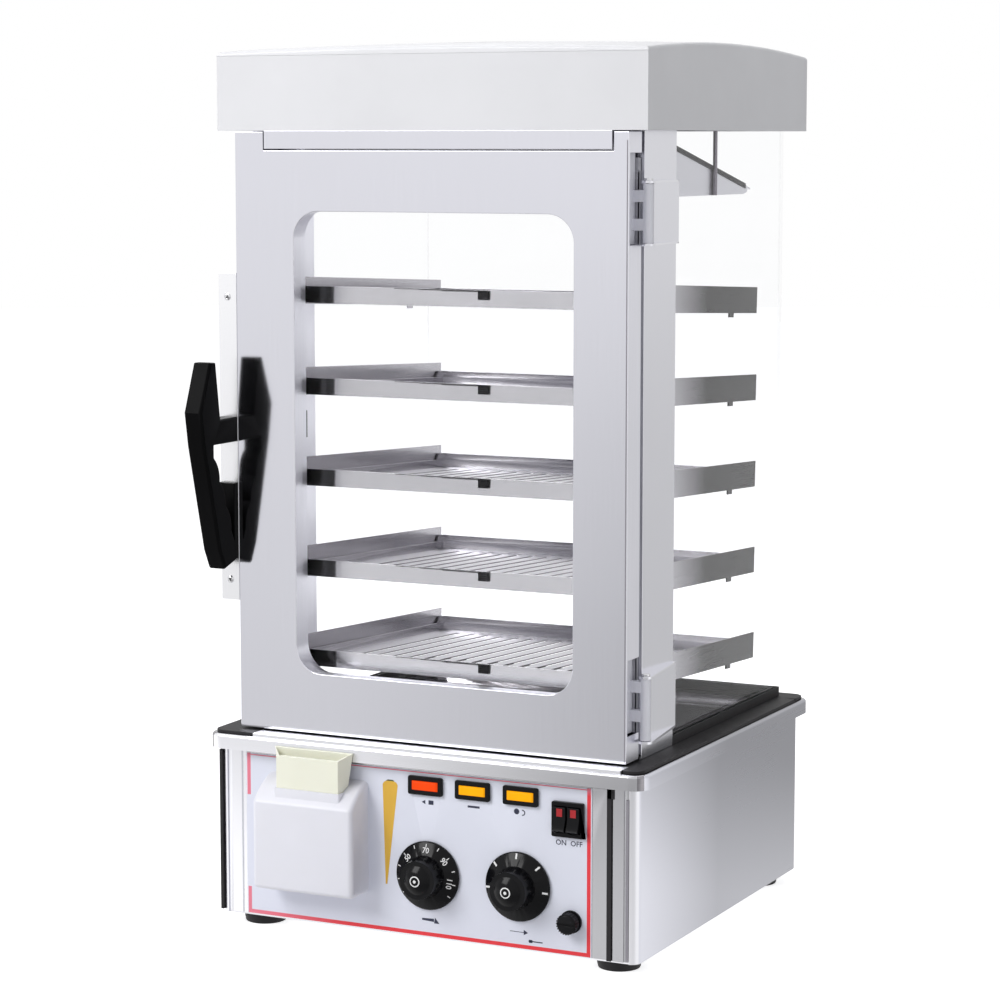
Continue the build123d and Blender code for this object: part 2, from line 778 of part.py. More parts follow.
def controls():
    """Thermostat, regulator, knobs, lamps, switch and fuse holder."""
    pieces = {}
    for x, name in ((thermostat_x, "thermostat"), (regulator_x, "regulator")):
        if name == "thermostat":
            body = disc_y(x, knob_z, panel_back, panel_back + thermostat_depth, thermostat_radius)
        else:
            reach = regulator_size / 2
            body = slab(
                x - reach, x + reach, panel_back, panel_back + regulator_depth,
                knob_z - reach, knob_z + reach,
            )
        body += disc_y(x, knob_z, fascia_front, panel_back, bush_radius)
        socket_end = fascia_front + shaft_tail
        body -= disc_y(
            x, knob_z, fascia_front - overrun, socket_end + seat_gap, shaft_radius + running_gap
        )
        knob_back = fascia_front - knob_stand
        pieces[name + "_body"] = body
        pieces[name + "_shaft"] = disc_y(
            x, knob_z, knob_back - shaft_socket + seat_gap, socket_end, shaft_radius
        )
        pieces["knob_" + name] = knob(x)

    bezels, lenses = [], []
    for x in lamp_places:
        rim = front_shape(
            span_rect(
                x - bezel_width / 2, x + bezel_width / 2,
                lamp_height - bezel_height / 2, lamp_height + bezel_height / 2, bezel_corner,
            ),
            fascia_front - bezel_depth, fascia_front,
        )
        rim += slab(
            x - lens_width / 2, x + lens_width / 2, fascia_front, fascia_front + lamp_body_depth,
            lamp_height - lens_height / 2, lamp_height + lens_height / 2,
        )
        wall = (bezel_height - lens_height) / 4
        lens_x = lens_width / 2 - wall
        lens_z = lens_height / 2 - wall
        rim -= slab(
            x - lens_x, x + lens_x, fascia_front - bezel_depth - overrun, fascia_front,
            lamp_height - lens_z, lamp_height + lens_z,
        )
        bezels.append(rim)
        lens = slab(
            x - lens_x, x + lens_x, fascia_front - bezel_depth - lens_stand, fascia_front,
            lamp_height - lens_z, lamp_height + lens_z,
        )
        lens = chamfer(lens.faces().sort_by(Axis.Y)[0].edges(), lens_chamfer)
        lenses.append(lens)
    pieces["lamp_bezels"] = Compound(children=bezels)
    pieces["lamp_lens_red"] = lenses[0]
    pieces["lamp_lenses_amber"] = Compound(children=lenses[1:])

    bezel_face = fascia_front - switch_bezel
    housing = front_shape(
        span_rect(
            switch_x - switch_width / 2, switch_x + switch_width / 2,
            switch_z - switch_height / 2, switch_z + switch_height / 2, switch_corner,
        ),
        bezel_face, fascia_front,
    )
    housing += slab(
        switch_x - switch_body_width / 2, switch_x + switch_body_width / 2,
        fascia_front, fascia_front + switch_body_depth,
        switch_z - switch_body_height / 2, switch_z + switch_body_height / 2,
    )
    pivot_y = bezel_face + rocker_pivot_depth
    cavity_back = pivot_y + rocker_radius + switch_cavity_floor
    for side, name in ((-1, "rocker_left"), (1, "rocker_right")):
        middle = switch_x + side * rocker_spacing / 2
        half = rocker_width / 2
        reach = rocker_radius + seat_gap
        housing -= slab(
            middle - half - seat_gap, middle + half + seat_gap,
            bezel_face - overrun, cavity_back, switch_z - reach, switch_z + reach,
        )
        rocker = Rot(Y=90) * Cylinder(rocker_radius, rocker_width)
        front_cut = slab(
            -rocker_width, rocker_width, -rocker_radius - overrun, -rocker_face,
            -rocker_radius - overrun, rocker_radius + overrun,
        )
        rocker -= (Rot(X=rocker_angle) * front_cut) & (Rot(X=-rocker_angle) * front_cut)
        place = Pos(middle, pivot_y, switch_z) * Rot(X=-rocker_angle)
        pieces[name] = place * rocker
    pieces["switch_housing"] = housing

    collar_front = fascia_front - fuse_collar
    holder = disc_y(fuse_x, fuse_z, collar_front, fascia_front, fuse_collar_radius)
    holder += disc_y(
        fuse_x, fuse_z, fascia_front, fascia_front + fuse_body_depth, fuse_body_radius
    )
    cap_back = collar_front - seat_gap
    holder -= disc_y(
        fuse_x, fuse_z, collar_front - overrun, cap_back + fuse_stem + seat_gap,
        fuse_stem_radius + running_gap,
    )
    cap = disc_y(fuse_x, fuse_z, cap_back - fuse_cap_height, cap_back, fuse_cap_radius)
    cap = chamfer(cap.faces().sort_by(Axis.Y)[0].edges(), fuse_slot_depth)
    cap -= slab(
        fuse_x - fuse_cap_radius, fuse_x + fuse_cap_radius,
        cap_back - fuse_cap_height - overrun, cap_back - fuse_cap_height + fuse_slot_depth,
        fuse_z - fuse_slot_width / 2, fuse_z + fuse_slot_width / 2,
    )
    cap += disc_y(fuse_x, fuse_z, cap_back, cap_back + fuse_stem, fuse_stem_radius)
    pieces["fuse_holder"] = holder
    pieces["fuse_cap"] = cap
    return pieces


def funnel_shape(front, grow, top):
    """The funnel's outer form, larger all round by the growth, flaring to the back."""
    back = front + funnel_depth
    foot = make_face(Polyline(
        (funnel_left - grow, front - grow), (funnel_right + grow, front - grow),
        (funnel_right + grow, back + grow), (funnel_left - grow, back + grow), close=True,
    ))
    mouth = make_face(Polyline(
        (funnel_left - grow, front - grow), (funnel_right + grow, front - grow),
        (funnel_right + funnel_flare_right + grow, back + grow),
        (funnel_left - funnel_flare_left - grow, back + grow), close=True,
    ))
    return loft([Plane.XY.offset(funnel_foot) * foot, Plane.XY.offset(top) * mouth])


def filling_box():
    """White box on the front panel with a swelling shoulder, and the funnel in its collar."""
    back = fascia_front
    front = back - box_front_depth
    chord = (box_shoulder_high - box_shoulder_low) / box_front_depth
    bulge_mid = (
        (front + back - box_shoulder_bulge) / 2,
        (box_shoulder_low + box_shoulder_high + box_shoulder_bulge) / 2 + box_shoulder_bulge / 2,
    )
    outline = [
        Line((back, box_bottom), (front, box_bottom)),
        Line((front, box_bottom), (front, box_shoulder_low)),
        ThreePointArc((front, box_shoulder_low), bulge_mid, (back, box_shoulder_high)),
        Line((back, box_shoulder_high), (back, box_bottom)),
    ]
    solid = extrude(Plane.YZ.offset(box_left) * make_face(outline), amount=box_right - box_left)
    front_edges = solid.edges().filter_by(lambda edge: edge.center().Y < back - sheet)
    solid = fillet(front_edges, box_round)

    funnel_back = front_y - rim_overhang - funnel_back_gap
    funnel_front = funnel_back - funnel_depth
    collar = slab(
        funnel_left - seat_gap - collar_wall, funnel_right + seat_gap + collar_wall,
        funnel_front - seat_gap - collar_wall, back, funnel_foot - box_wall, collar_top,
    )
    collar = fillet(collar.edges().filter_by(Axis.Z).sort_by(Axis.Y)[:2], collar_wall)
    cavity = side_profile(
        [
            (back - box_wall, box_bottom + box_wall),
            (front + box_wall, box_bottom + box_wall),
            (front + box_wall, box_shoulder_low - box_wall),
            (back - box_wall, box_shoulder_high - box_wall - chord * box_wall),
        ],
        box_left + box_wall, box_right - box_wall,
    )
    body = solid - cavity + collar
    body -= funnel_shape(funnel_front, seat_gap, funnel_back_top)
    body -= slab(
        funnel_left + funnel_wall, funnel_right - funnel_wall,
        funnel_front + funnel_wall, funnel_back - funnel_wall,
        funnel_foot - box_wall - overrun, funnel_foot + overrun,
    )
    body -= disc_y(
        (box_left + box_right) / 2, pipe_z, back - box_wall - overrun, back + overrun,
        pipe_radius + running_gap,
    )

    funnel = funnel_shape(funnel_front, 0, funnel_back_top)
    funnel -= funnel_shape(funnel_front, -funnel_wall, funnel_back_top)
    funnel -= side_profile(
        [
            (funnel_front - overrun, funnel_front_top), (funnel_front, funnel_front_top),
            (funnel_back, funnel_back_top), (funnel_back, funnel_back_top + overrun),
            (funnel_front - overrun, funnel_back_top + overrun),
        ],
        box_left, box_right + overrun,
    )
    return {"fill_box": body, "fill_funnel": funnel}


def rear_fittings():
    """Drain valve with its lever, and the gland for the supply cord."""
    start = well_back - ledge_width
    face = rear_y + valve_body_start
    end = face + valve_body_length
    middle = (face + end) / 2
    valve = disc_y(0, valve_z, start, face, valve_pipe_radius)
    valve += disc_y(0, valve_z, face, end, valve_body_radius)
    spout_y = end + spout_reach
    valve += disc_y(0, valve_z, end, spout_y, spout_radius)
    valve += Pos(0, spout_y, valve_z) * Sphere(spout_radius)
    spout_end = valve_z - spout_length
    shoulder = spout_end + hose_end_length
    valve += disc_z(0, spout_y, shoulder, valve_z, spout_radius)
    valve += disc_z(0, spout_y, spout_end, shoulder, hose_end_radius)
    neck_top = valve_z + valve_body_radius + valve_neck
    valve += disc_z(0, middle, valve_z, neck_top, valve_neck_radius)
    valve -= disc_z(0, spout_y, spout_end - overrun, valve_z, spout_bore)
    valve -= disc_z(
        0, middle, valve_z + valve_body_radius, neck_top + overrun, valve_stem_radius + running_gap
    )
    low = neck_top + seat_gap
    lever = disc_z(0, middle, low, low + lever_thickness, lever_hub_radius)
    bar = span_rect(
        -lever_hub_radius / 2, lever_length, middle - lever_width / 2, middle + lever_width / 2,
        lever_width / 2 - sheet,
    )
    lever += plan_shape(bar, low, low + lever_thickness)
    lever += disc_z(0, middle, valve_z + valve_body_radius + seat_gap, low, valve_stem_radius)

    panel_outer = rear_y - sheet
    nut_start = panel_outer - sheet - gland_nut
    gland = disc_y(gland_x, gland_z, nut_start, panel_outer - sheet, gland_nut_radius)
    gland += disc_y(gland_x, gland_z, panel_outer - sheet, panel_outer, gland_thread_radius)
    gland += disc_y(gland_x, gland_z, panel_outer, panel_outer + gland_collar, gland_collar_radius)
    dome = Cone(gland_collar_radius, gland_dome_radius, gland_dome)
    gland += Pos(gland_x, panel_outer + gland_collar + gland_dome / 2, gland_z) * Rot(X=-90) * dome
    gland -= disc_y(
        gland_x, gland_z, nut_start - overrun, panel_outer + gland_collar + gland_dome + overrun,
        gland_bore,
    )
    return {"drain_valve": valve, "drain_lever": lever, "cord_gland": gland}


def cabinet_frame():
    """Posts, crossbars, seals, panes and ceiling pan."""
    pieces = {}
    back_of_post = cabinet_front + post_depth
    outline = span_rect(post_inner, cabinet_half, cabinet_front, back_of_post)
    hollow = span_rect(
        post_inner + sheet, cabinet_half - sheet, cabinet_front + sheet, back_of_post - sheet
    )
    glass_gap = span_rect(glass_inner, glass_outer, back_of_post - sheet, back_of_post)
    post = plan_shape(outline - hollow - glass_gap, cabinet_floor, ceiling_z)
    pieces["post_right"] = post
    pieces["post_left"] = mirrored(post)

    bars = []
    for low, high in ((cabinet_floor, cabinet_floor + sill_height), (header_bottom, ceiling_z)):
        bar = slab(-post_inner, post_inner, cabinet_front, cabinet_front + crossbar_depth, low, high)
        bar -= slab(
            -post_inner, post_inner, cabinet_front + sheet, cabinet_front + crossbar_depth + overrun,
            low + sheet, high - sheet,
        )
        bars.append(bar)
    pieces["front_crossbars"] = Compound(children=bars)

    seal_x = half_w + rim_overhang - seal_edge
    seal_y = half_d + rim_overhang - seal_edge
    seal_round = rim_corner - seal_edge
    ring = plan_shape(
        span_rect(-seal_x, seal_x, -seal_y, seal_y, seal_round), rim_top, cabinet_floor
    )
    hole_x = well_width / 2 + seal_inner
    hole_front = well_front - seal_inner
    hole_back = well_back + seal_inner
    seals = [
        ring & slab(-seal_x, seal_x, -seal_y, hole_front, rim_top, cabinet_floor),
        ring & slab(-seal_x, seal_x, hole_back, seal_y, rim_top, cabinet_floor),
        ring & slab(-seal_x, -hole_x, hole_front, hole_back, rim_top, cabinet_floor),
        ring & slab(hole_x, seal_x, hole_front, hole_back, rim_top, cabinet_floor),
    ]
    pane_low = cabinet_floor + pane_channel_floor
    channel_top = cabinet_floor + pane_channel_height
    for side in (-1, 1):
        edges = sorted((side * cabinet_half, side * (cabinet_half - pane_channel)))
        strip = slab(edges[0], edges[1], back_of_post, cabinet_back + sheet, cabinet_floor, channel_top)
        groove = sorted((side * glass_inner, side * glass_outer))
        strip -= slab(groove[0], groove[1], back_of_post, cabinet_back, pane_low, channel_top)
        strip -= slab(
            -glass_inner, glass_inner, cabinet_back - glass_thickness, cabinet_back,
            pane_low, channel_top,
        )
        seals.append(strip)
    inner_x = cabinet_half - pane_channel
    strip = slab(
        -inner_x, inner_x, cabinet_back + sheet - pane_channel, cabinet_back + sheet,
        cabinet_floor, channel_top,
    )
    strip -= slab(
        -inner_x, inner_x, cabinet_back - glass_thickness, cabinet_back, pane_low, channel_top
    )
    seals.append(strip)
    pieces["cabinet_seals"] = Compound(children=seals)

    pane = slab(
        glass_inner, glass_outer, back_of_post - glass_in_post, cabinet_back, pane_low, ceiling_z
    )
    pieces["side_glass"] = Compound(children=[mirrored(pane), pane])
    pieces["rear_glass"] = slab(
        -glass_inner, glass_inner, cabinet_back - glass_thickness, cabinet_back, pane_low, ceiling_z
    )

    pan_x = cabinet_half + sheet
    pan_front = cabinet_front - sheet
    pan_back = cabinet_back + sheet
    skirt_low = ceiling_z - ceiling_skirt
    pan = slab(-pan_x, pan_x, pan_front, pan_back, skirt_low, ceiling_z + sheet)
    pan -= slab(
        -cabinet_half, cabinet_half, cabinet_front, cabinet_back, skirt_low - overrun, ceiling_z
    )
    pieces["ceiling_pan"] = pan
    return pieces


def arched_block(inset):
    """The cap's block, smaller all round by the inset, with its top arched both ways."""
    half_x = cabinet_half + cap_side_overlap - inset
    y0, y1 = cap_front + inset, cap_back - inset
    edge = cap_edge - inset
    half_y = (y1 - y0) / 2
    middle = (y0 + y1) / 2
    crest = edge + cap_arch_along
    top_line = ThreePointArc((y0, edge), (middle, crest), (y1, edge))
    low = cap_bottom + inset
    below = low - cap_arch_across - overrun
    section = [
        Line((y1, edge), (y1, below)), Line((y1, below), (y0, below)), Line((y0, below), (y0, edge))
    ]
    across = cap_arch_across
    radius = (half_x * half_x + across * across) / (2 * across)
    axis = Axis((0, middle, edge + across - radius), (0, 1, 0))
    turn = math.degrees(math.asin(half_x / radius)) * cap_turn_share
    profile = Plane.YZ * Pos(0, across) * make_face([top_line] + section)
    body = revolve(profile, axis=axis, revolution_arc=2 * turn)
    body = body.rotate(axis, -turn)
    return body & slab(-half_x, half_x, y0, y1, low, crest + across + overrun)


def roof():
    """Cap, header strip, baffle and rods."""
    outer = arched_block(0)
    top_face = outer.faces().sort_by(Axis.Z)[-1]
    outer = fillet(top_face.edges(), cap_round)
    cap = outer - arched_block(sheet)
    pan_x = cabinet_half + sheet + seat_gap
    cap -= slab(
        -pan_x, pan_x, cabinet_front - sheet - seat_gap, cabinet_back + sheet + seat_gap,
        cap_bottom - overrun, cap_bottom + overrun,
    )
    strip = slab(
        notch_left + notch_gap, notch_right - notch_gap, cap_front, cap_front + sheet,
        notch_bottom, cap_bottom,
    )

    slope = (ceiling_z - baffle_top_gap - baffle_tip_z) / (baffle_tip - baffle_front)
    front_z = ceiling_z - baffle_top_gap
    cheek_points = [
        (baffle_front, front_z), (baffle_front, baffle_bottom),
        (baffle_tip - baffle_heel, baffle_bottom), (baffle_tip, baffle_tip_z),
    ]
    cheek = side_profile(cheek_points, baffle_half_width - sheet, baffle_half_width)
    tip = cheek.edges().filter_by(Axis.X).sort_by(Axis.Y)[-1]
    cheek = fillet(tip, baffle_tip_round)
    thickness = sheet * math.sqrt(1 + slope * slope)
    roof_plate = side_profile(
        [
            (baffle_front, front_z), (baffle_front, front_z - thickness),
            (baffle_tip - baffle_tip_round, baffle_tip_z + baffle_tip_round * slope - thickness),
            (baffle_tip - baffle_tip_round, baffle_tip_z + baffle_tip_round * slope),
        ],
        -baffle_half_width + sheet, baffle_half_width - sheet,
    )
    baffle = roof_plate + cheek + mirrored(cheek)
    rod_x = baffle_half_width + rod_radius
    rod = disc_z(rod_x, rod_y, baffle_bottom, ceiling_z, rod_radius)
    return {
        "cap": cap,
        "header_strip": strip,
        "baffle": baffle,
        "baffle_rods": Compound(children=[mirrored(rod), rod]),
    }


def tray_place(index):
    """Where a tray's tilted frame stands: its underside at the front, counted from below."""
    return Pos(0, tray_front, first_tray_z + index * tray_pitch) * Rot(X=-tray_tilt)


def tray():
    """Slotted tray in its own frame: Y from its front edge, Z from the arm's underside."""
    half = tray_half
    length = tray_back - tray_front
    low = sheet
    pan = slab(-half, half, 0, length, low, low + tray_flange)
    pan -= slab(
        -half + tray_sheet, half - tray_sheet, tray_sheet, length - tray_sheet,
        low + tray_sheet, low + tray_flange + overrun,
    )
    for side in (-1, 1):
        edges = sorted((side * (half - tray_sheet), side * (half + overrun)))
        pan -= slab(
            edges[0], edges[1], tray_sheet, length - tray_sheet,
            low + tray_side_flange, low + tray_flange + overrun,
        )
    slots = []
    for index in range(slot_count):
        x = (index - (slot_count - 1) / 2) * slot_pitch
        slots.append(slab(
            x - slot_width / 2, x + slot_width / 2, slot_margin, length - slot_margin,
            low - overrun, low + tray_sheet + overrun,
        ))
    return pan - slots


def arm():
    """Right-hand arm in the tray's frame: web, lip and stop tab, welded to the post."""
    start = cabinet_front - tray_front + sheet
    end = arm_back - tray_front
    web = slab(post_inner - sheet, post_inner, start, end, 0, arm_height)
    lip = slab(post_inner - sheet - arm_lip, post_inner - sheet, start, end, 0, sheet)
    stop_y = arm_stop_y - tray_front
    tab = slab(
        post_inner - sheet, post_inner, stop_y, stop_y + arm_stop_width, -arm_stop_drop, 0
    )
    return web + lip + tab


def trays_and_arms():
    """Five trays and the arms that carry them, the topmost tray first."""
    pieces = {}
    left, right = [], []
    one_arm = arm()
    one_tray = tray()
    for index in range(tray_count):
        place = tray_place(index)
        right.append(place * one_arm)
        left.append(place * mirrored(one_arm))
        pieces["tray_" + str(tray_count - index)] = place * one_tray
    pieces["tray_arms_left"] = Compound(children=left)
    pieces["tray_arms_right"] = Compound(children=right)
    return pieces


def door_outline(inset):
    """The door's front outline with the notch for the header strip."""
    body = span_rect(
        door_left + inset, door_right - inset, door_bottom + inset, door_top - inset
    )
    notch = span_rect(
        notch_left - inset, notch_right + inset, notch_bottom - notch_gap - inset, door_top + overrun
    )
    return body - notch


def window_shape(margin):
    """The window's round-cornered outline, larger by the margin."""
    return span_rect(
        window_left - margin, window_right + margin, window_bottom - margin, window_top + margin,
        window_corner + margin,
    )


def door():
    """Outer pan, inner pan, pane and gasket."""
    pan = front_shape(door_outline(0), door_front, door_back)
    pan -= front_shape(door_outline(sheet), door_front + sheet, door_back + overrun)
    reveal_back = door_front + reveal_depth
    pan += front_shape(window_shape(sheet), door_front, reveal_back)
    pan -= front_shape(window_shape(0), door_front - overrun, door_back + overrun)
    for low, high in (lower_recess, upper_recess):
        pan -= slab(
            door_right - 2 * sheet, door_right + overrun,
            door_front + sheet + recess_front_gap, door_back + overrun, low, high,
        )
    pane_back = reveal_back + door_pane
    pane = front_shape(window_shape(pane_margin), reveal_back, pane_back)
    inner_top = notch_bottom - notch_gap - sheet
    inner = front_shape(
        span_rect(door_left + sheet, door_right - sheet, door_bottom + sheet, inner_top)
        - window_shape(inner_frame_margin),
        door_back - sheet, door_back,
    )
    for low, high in (lower_recess, upper_recess):
        inner -= slab(
            door_right - hinge_plate_inset - hinge_plate - seat_gap, door_right,
            door_back - sheet - overrun, door_back, low, high,
        )
    inner += front_shape(
        window_shape(inner_frame_margin + sheet) - window_shape(inner_frame_margin),
        pane_back, door_back - sheet,
    )
    gasket_back = cabinet_front - seat_gap
    strips = []
    for side in (-1, 1):
        edges = sorted((side * gasket_side, side * (gasket_side - gasket_width)))
        strips.append(slab(
            edges[0], edges[1], door_back, gasket_back,
            gasket_bottom + gasket_width, gasket_top - gasket_width,
        ))
    for low in (gasket_bottom, gasket_top - gasket_width):
        strips.append(slab(
            -gasket_side, gasket_side, door_back, gasket_back, low, low + gasket_width
        ))
    return {
        "door_pan": pan,
        "door_glass": pane,
        "door_inner_pan": inner,
        "door_gasket": Compound(children=strips),
    }


def handle():
    """Steel plate on the door's free edge and the moulded handle with its finger waves."""
    left = door_left - plate_width
    plate = slab(left, door_left, handle_face, handle_face + plate_thickness, plate_bottom, plate_top)
    plate += slab(
        door_left - plate_thickness, door_left, handle_face, handle_face + plate_leg,
        plate_bottom, plate_top,
    )

    def at(reach, z):
        return (handle_face - reach, z)

    wave_top = handle_stem_low - wave_length / 2
    reach = handle_grip_inner
    z = wave_top
    grip = []
    while z - wave_length > handle_low + wave_length / 2:
        middle = at(reach - wave_step / 2 - wave_depth, z - wave_length / 2)
        grip.append(ThreePointArc(at(reach, z), middle, at(reach - wave_step, z - wave_length)))
        reach -= wave_step
        z -= wave_length
    foot_inner = at(handle_foot_reach, handle_foot_top)
    groove_end = at(handle_foot_reach, z - wave_length / 2)
    lines = [
        Line(at(0, handle_bottom + handle_foot_reach), at(0, handle_foot_top)),
        Line(at(0, handle_foot_top), foot_inner),
        Line(foot_inner, groove_end),
        Line(groove_end, at(reach, z)),
        Line(at(handle_grip_inner, wave_top), at(handle_grip_inner, handle_stem_low)),
        Line(at(handle_grip_inner, handle_stem_low), at(0, handle_stem_low)),
        Line(at(0, handle_stem_low), at(0, handle_stem_high)),
        Line(at(0, handle_stem_high), at(handle_stem_inner, handle_stem_high)),
        Line(at(handle_stem_inner, handle_stem_high), at(handle_top_inner, handle_top)),
        Line(at(handle_top_inner, handle_top), at(handle_top_reach, handle_top)),
        Line(at(handle_top_reach, handle_top), at(handle_knee_reach, handle_knee)),
        Line(at(handle_knee_reach, handle_knee), at(handle_grip_reach, handle_stem_low)),
        Line(at(handle_grip_reach, handle_stem_low), at(handle_low_reach, handle_low)),
        Line(at(handle_low_reach, handle_low), at(handle_bottom_reach, handle_bottom)),
        Line(at(handle_bottom_reach, handle_bottom), at(0, handle_bottom + handle_foot_reach)),
    ]
    face = make_face(lines + grip)
    middle = door_left - plate_width / 2
    start = middle - handle_width / 2
    grip_body = extrude(Plane.YZ.offset(start) * face, amount=handle_width)
    long_edges = grip_body.edges().filter_by(
        lambda edge: abs(edge.center().X - middle) > handle_width / 4
        and edge.center().Y < handle_face - handle_foot_reach
        and edge.geom_type == GeomType.LINE
        and edge.length > handle_width
    )
    grip_body = chamfer(long_edges, handle_edge)
    return {"handle_plate": plate, "handle": grip_body}


def hinges():
    """Cabinet brackets, pins and the knuckles on the door."""
    brackets, pins, knuckles = [], [], []
    leaf_inner = cabinet_half
    leaf_outer = cabinet_half + hinge_leaf
    plate_x = door_right - hinge_plate_inset
    for leaf, recess, arms in (
        (lower_leaf, lower_recess, lower_arms), (upper_leaf, upper_recess, upper_arms)
    ):
        low, high = leaf
        bracket = slab(leaf_inner, leaf_outer, hinge_leaf_front, hinge_leaf_back, low, high)
        ear_points = [
            (leaf_inner, hinge_leaf_back), (leaf_outer, hinge_leaf_back),
            (hinge_x + hinge_ear_radius, hinge_y), (leaf_inner, hinge_y),
        ]
        ear_face = make_face(Polyline(*ear_points, close=True))
        ear_face += Pos(hinge_x, hinge_y) * Circle(hinge_ear_radius)
        ear_face -= span_rect(
            leaf_inner - overrun, hinge_x - hinge_ear_radius, hinge_y - overrun, cabinet_front
        )
        for z in (low, high - hinge_ear):
            bracket += plan_shape(ear_face, z, z + hinge_ear)
        bracket -= disc_z(
            hinge_x, hinge_y, low - overrun, high + overrun, hinge_pin_radius + running_gap
        )
        brackets.append(bracket)
        pin = disc_z(hinge_x, hinge_y, low, high, hinge_pin_radius)
        pin += disc_z(hinge_x, hinge_y, high, high + hinge_pin_head, hinge_pin_head_radius)
        pins.append(pin)
        barrel_low = low + hinge_ear + seat_gap
        barrel_high = high - hinge_ear - seat_gap
        knuckle = disc_z(hinge_x, hinge_y, barrel_low, barrel_high, hinge_barrel_radius)
        for z in arms:
            knuckle += slab(
                plate_x, hinge_x, hinge_y - hinge_arm_depth / 2, hinge_y + hinge_arm_depth / 2,
                z - hinge_arm_height / 2, z + hinge_arm_height / 2,
            )
        knuckle += slab(
            plate_x - hinge_plate, plate_x, door_front + sheet, door_back - sheet,
            recess[0], recess[1],
        )
        knuckle -= disc_z(
            hinge_x, hinge_y, low - overrun, high + overrun, hinge_pin_radius + running_gap
        )
        knuckles.append(knuckle)
    return {
        "hinge_brackets": Compound(children=brackets),
        "hinge_pins": Compound(children=pins),
        "door_hinges": Compound(children=knuckles),
    }


def catch():
    """Magnet on the left post and the steel strike on the door."""
    gap_front = cabinet_front + strike_step
    low = catch_z - catch_height / 2
    magnet = slab(
        -post_inner, -post_inner + catch_width, gap_front, gap_front + catch_depth,
        low, low + catch_height,
    )
    strike = slab(
        -post_inner + strike_step, -post_inner + strike_step + strike_width,
        door_back, gap_front - seat_gap,
        catch_z - strike_height / 2, catch_z + strike_height / 2,
    )
    return {"catch_magnet": magnet, "catch_strike": strike}


def all_pieces():
    """Every node of the steamer by name."""
    pieces = {}
    for make in (
        base_housing, front_panels, water_tank, tank_fittings, controls, filling_box,
        rear_fittings, cabinet_frame, roof, trays_and_arms, door, handle, hinges, catch,
    ):
        pieces.update(make())
    return pieces


pieces = all_pieces()
os.makedirs("parts", exist_ok=True)
for name, shape in pieces.items():
    export_step(shape, "parts/" + name + ".step")
print(len(pieces), "nodes")
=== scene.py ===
"""Looks of a countertop food steamer: a glass-sided cabinet with five slotted trays over a water tank.

Metres, +X to the viewer's right, +Y to the back, +Z up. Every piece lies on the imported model's fixed frame.
The sizes and places of small pieces and prints are named in millimetres, as in the model's source.
"""
import json
import logging
import math
from collections.abc import Callable, Mapping, Sequence
from dataclasses import dataclass, field
from enum import Enum, StrEnum, auto
from typing import Any

import bmesh
import bpy
from mathutils import Matrix, Vector
from mathutils.bvhtree import BVHTree


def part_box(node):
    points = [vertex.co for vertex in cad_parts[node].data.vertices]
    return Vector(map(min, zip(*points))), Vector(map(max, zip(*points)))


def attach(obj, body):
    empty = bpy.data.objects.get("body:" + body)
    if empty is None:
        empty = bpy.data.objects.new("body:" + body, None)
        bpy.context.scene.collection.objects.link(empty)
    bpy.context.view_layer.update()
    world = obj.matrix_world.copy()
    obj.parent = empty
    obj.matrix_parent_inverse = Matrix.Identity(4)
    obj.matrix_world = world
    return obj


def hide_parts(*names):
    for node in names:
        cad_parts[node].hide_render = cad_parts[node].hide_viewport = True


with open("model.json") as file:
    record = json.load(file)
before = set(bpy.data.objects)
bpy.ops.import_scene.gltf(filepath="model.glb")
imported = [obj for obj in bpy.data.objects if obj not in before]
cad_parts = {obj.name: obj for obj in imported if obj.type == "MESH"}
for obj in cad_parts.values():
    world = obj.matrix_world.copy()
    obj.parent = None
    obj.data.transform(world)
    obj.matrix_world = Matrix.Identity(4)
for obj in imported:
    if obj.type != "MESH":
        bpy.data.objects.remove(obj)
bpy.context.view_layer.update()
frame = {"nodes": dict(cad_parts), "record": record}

LOG = logging.getLogger("steamer")
MM = 0.001
STEAMER = "steamer"
X, Y, Z = range(3)

# Stretches of a noise's range that hold most of its values
MIDDLE = (0.35, 0.65)
WIDER_MIDDLE = (0.3, 0.7)

# A face looks along an axis when its normal's share of that axis is above this
FACING = 0.9

# How far from the middle a ray to the front or the back of the steamer starts, in millimetres
OUTSIDE = 300.0

Point = tuple[float, float, float]
Colour = tuple[float, float, float]
Outline = Sequence[tuple[float, float]]
Outlines = Sequence[Outline]
Boxes = Sequence[tuple[Point, Point]]
Edges = Sequence[tuple[str, float]]
Mesh = bpy.types.Mesh
Material = bpy.types.Material
Socket = bpy.types.NodeSocket
NodeTree = bpy.types.NodeTree
FacePick = Callable[[bpy.types.MeshPolygon], bool]
Inputs = Mapping[str | int, Any]


class Slot(StrEnum):
    """The record's material slots."""

    HOUSING_STEEL = auto()
    CABINET_STEEL = auto()
    DOOR_STEEL = auto()
    TRAY_STEEL = auto()
    TANK_STEEL = auto()
    BRIGHT_CHROME = auto()
    BRASS_FITTING = auto()
    CAP_PAINT = auto()
    PRINTED_FASCIA = auto()
    WHITE_PLASTIC = auto()
    CREAM_PLASTIC = auto()
    BLACK_PLASTIC = auto()
    GLOSS_BLACK = auto()
    HANDLE_BLACK = auto()
    RED_LENS = auto()
    AMBER_LENS = auto()
    BLACK_RUBBER = auto()
    CLEAR_GLASS = auto()


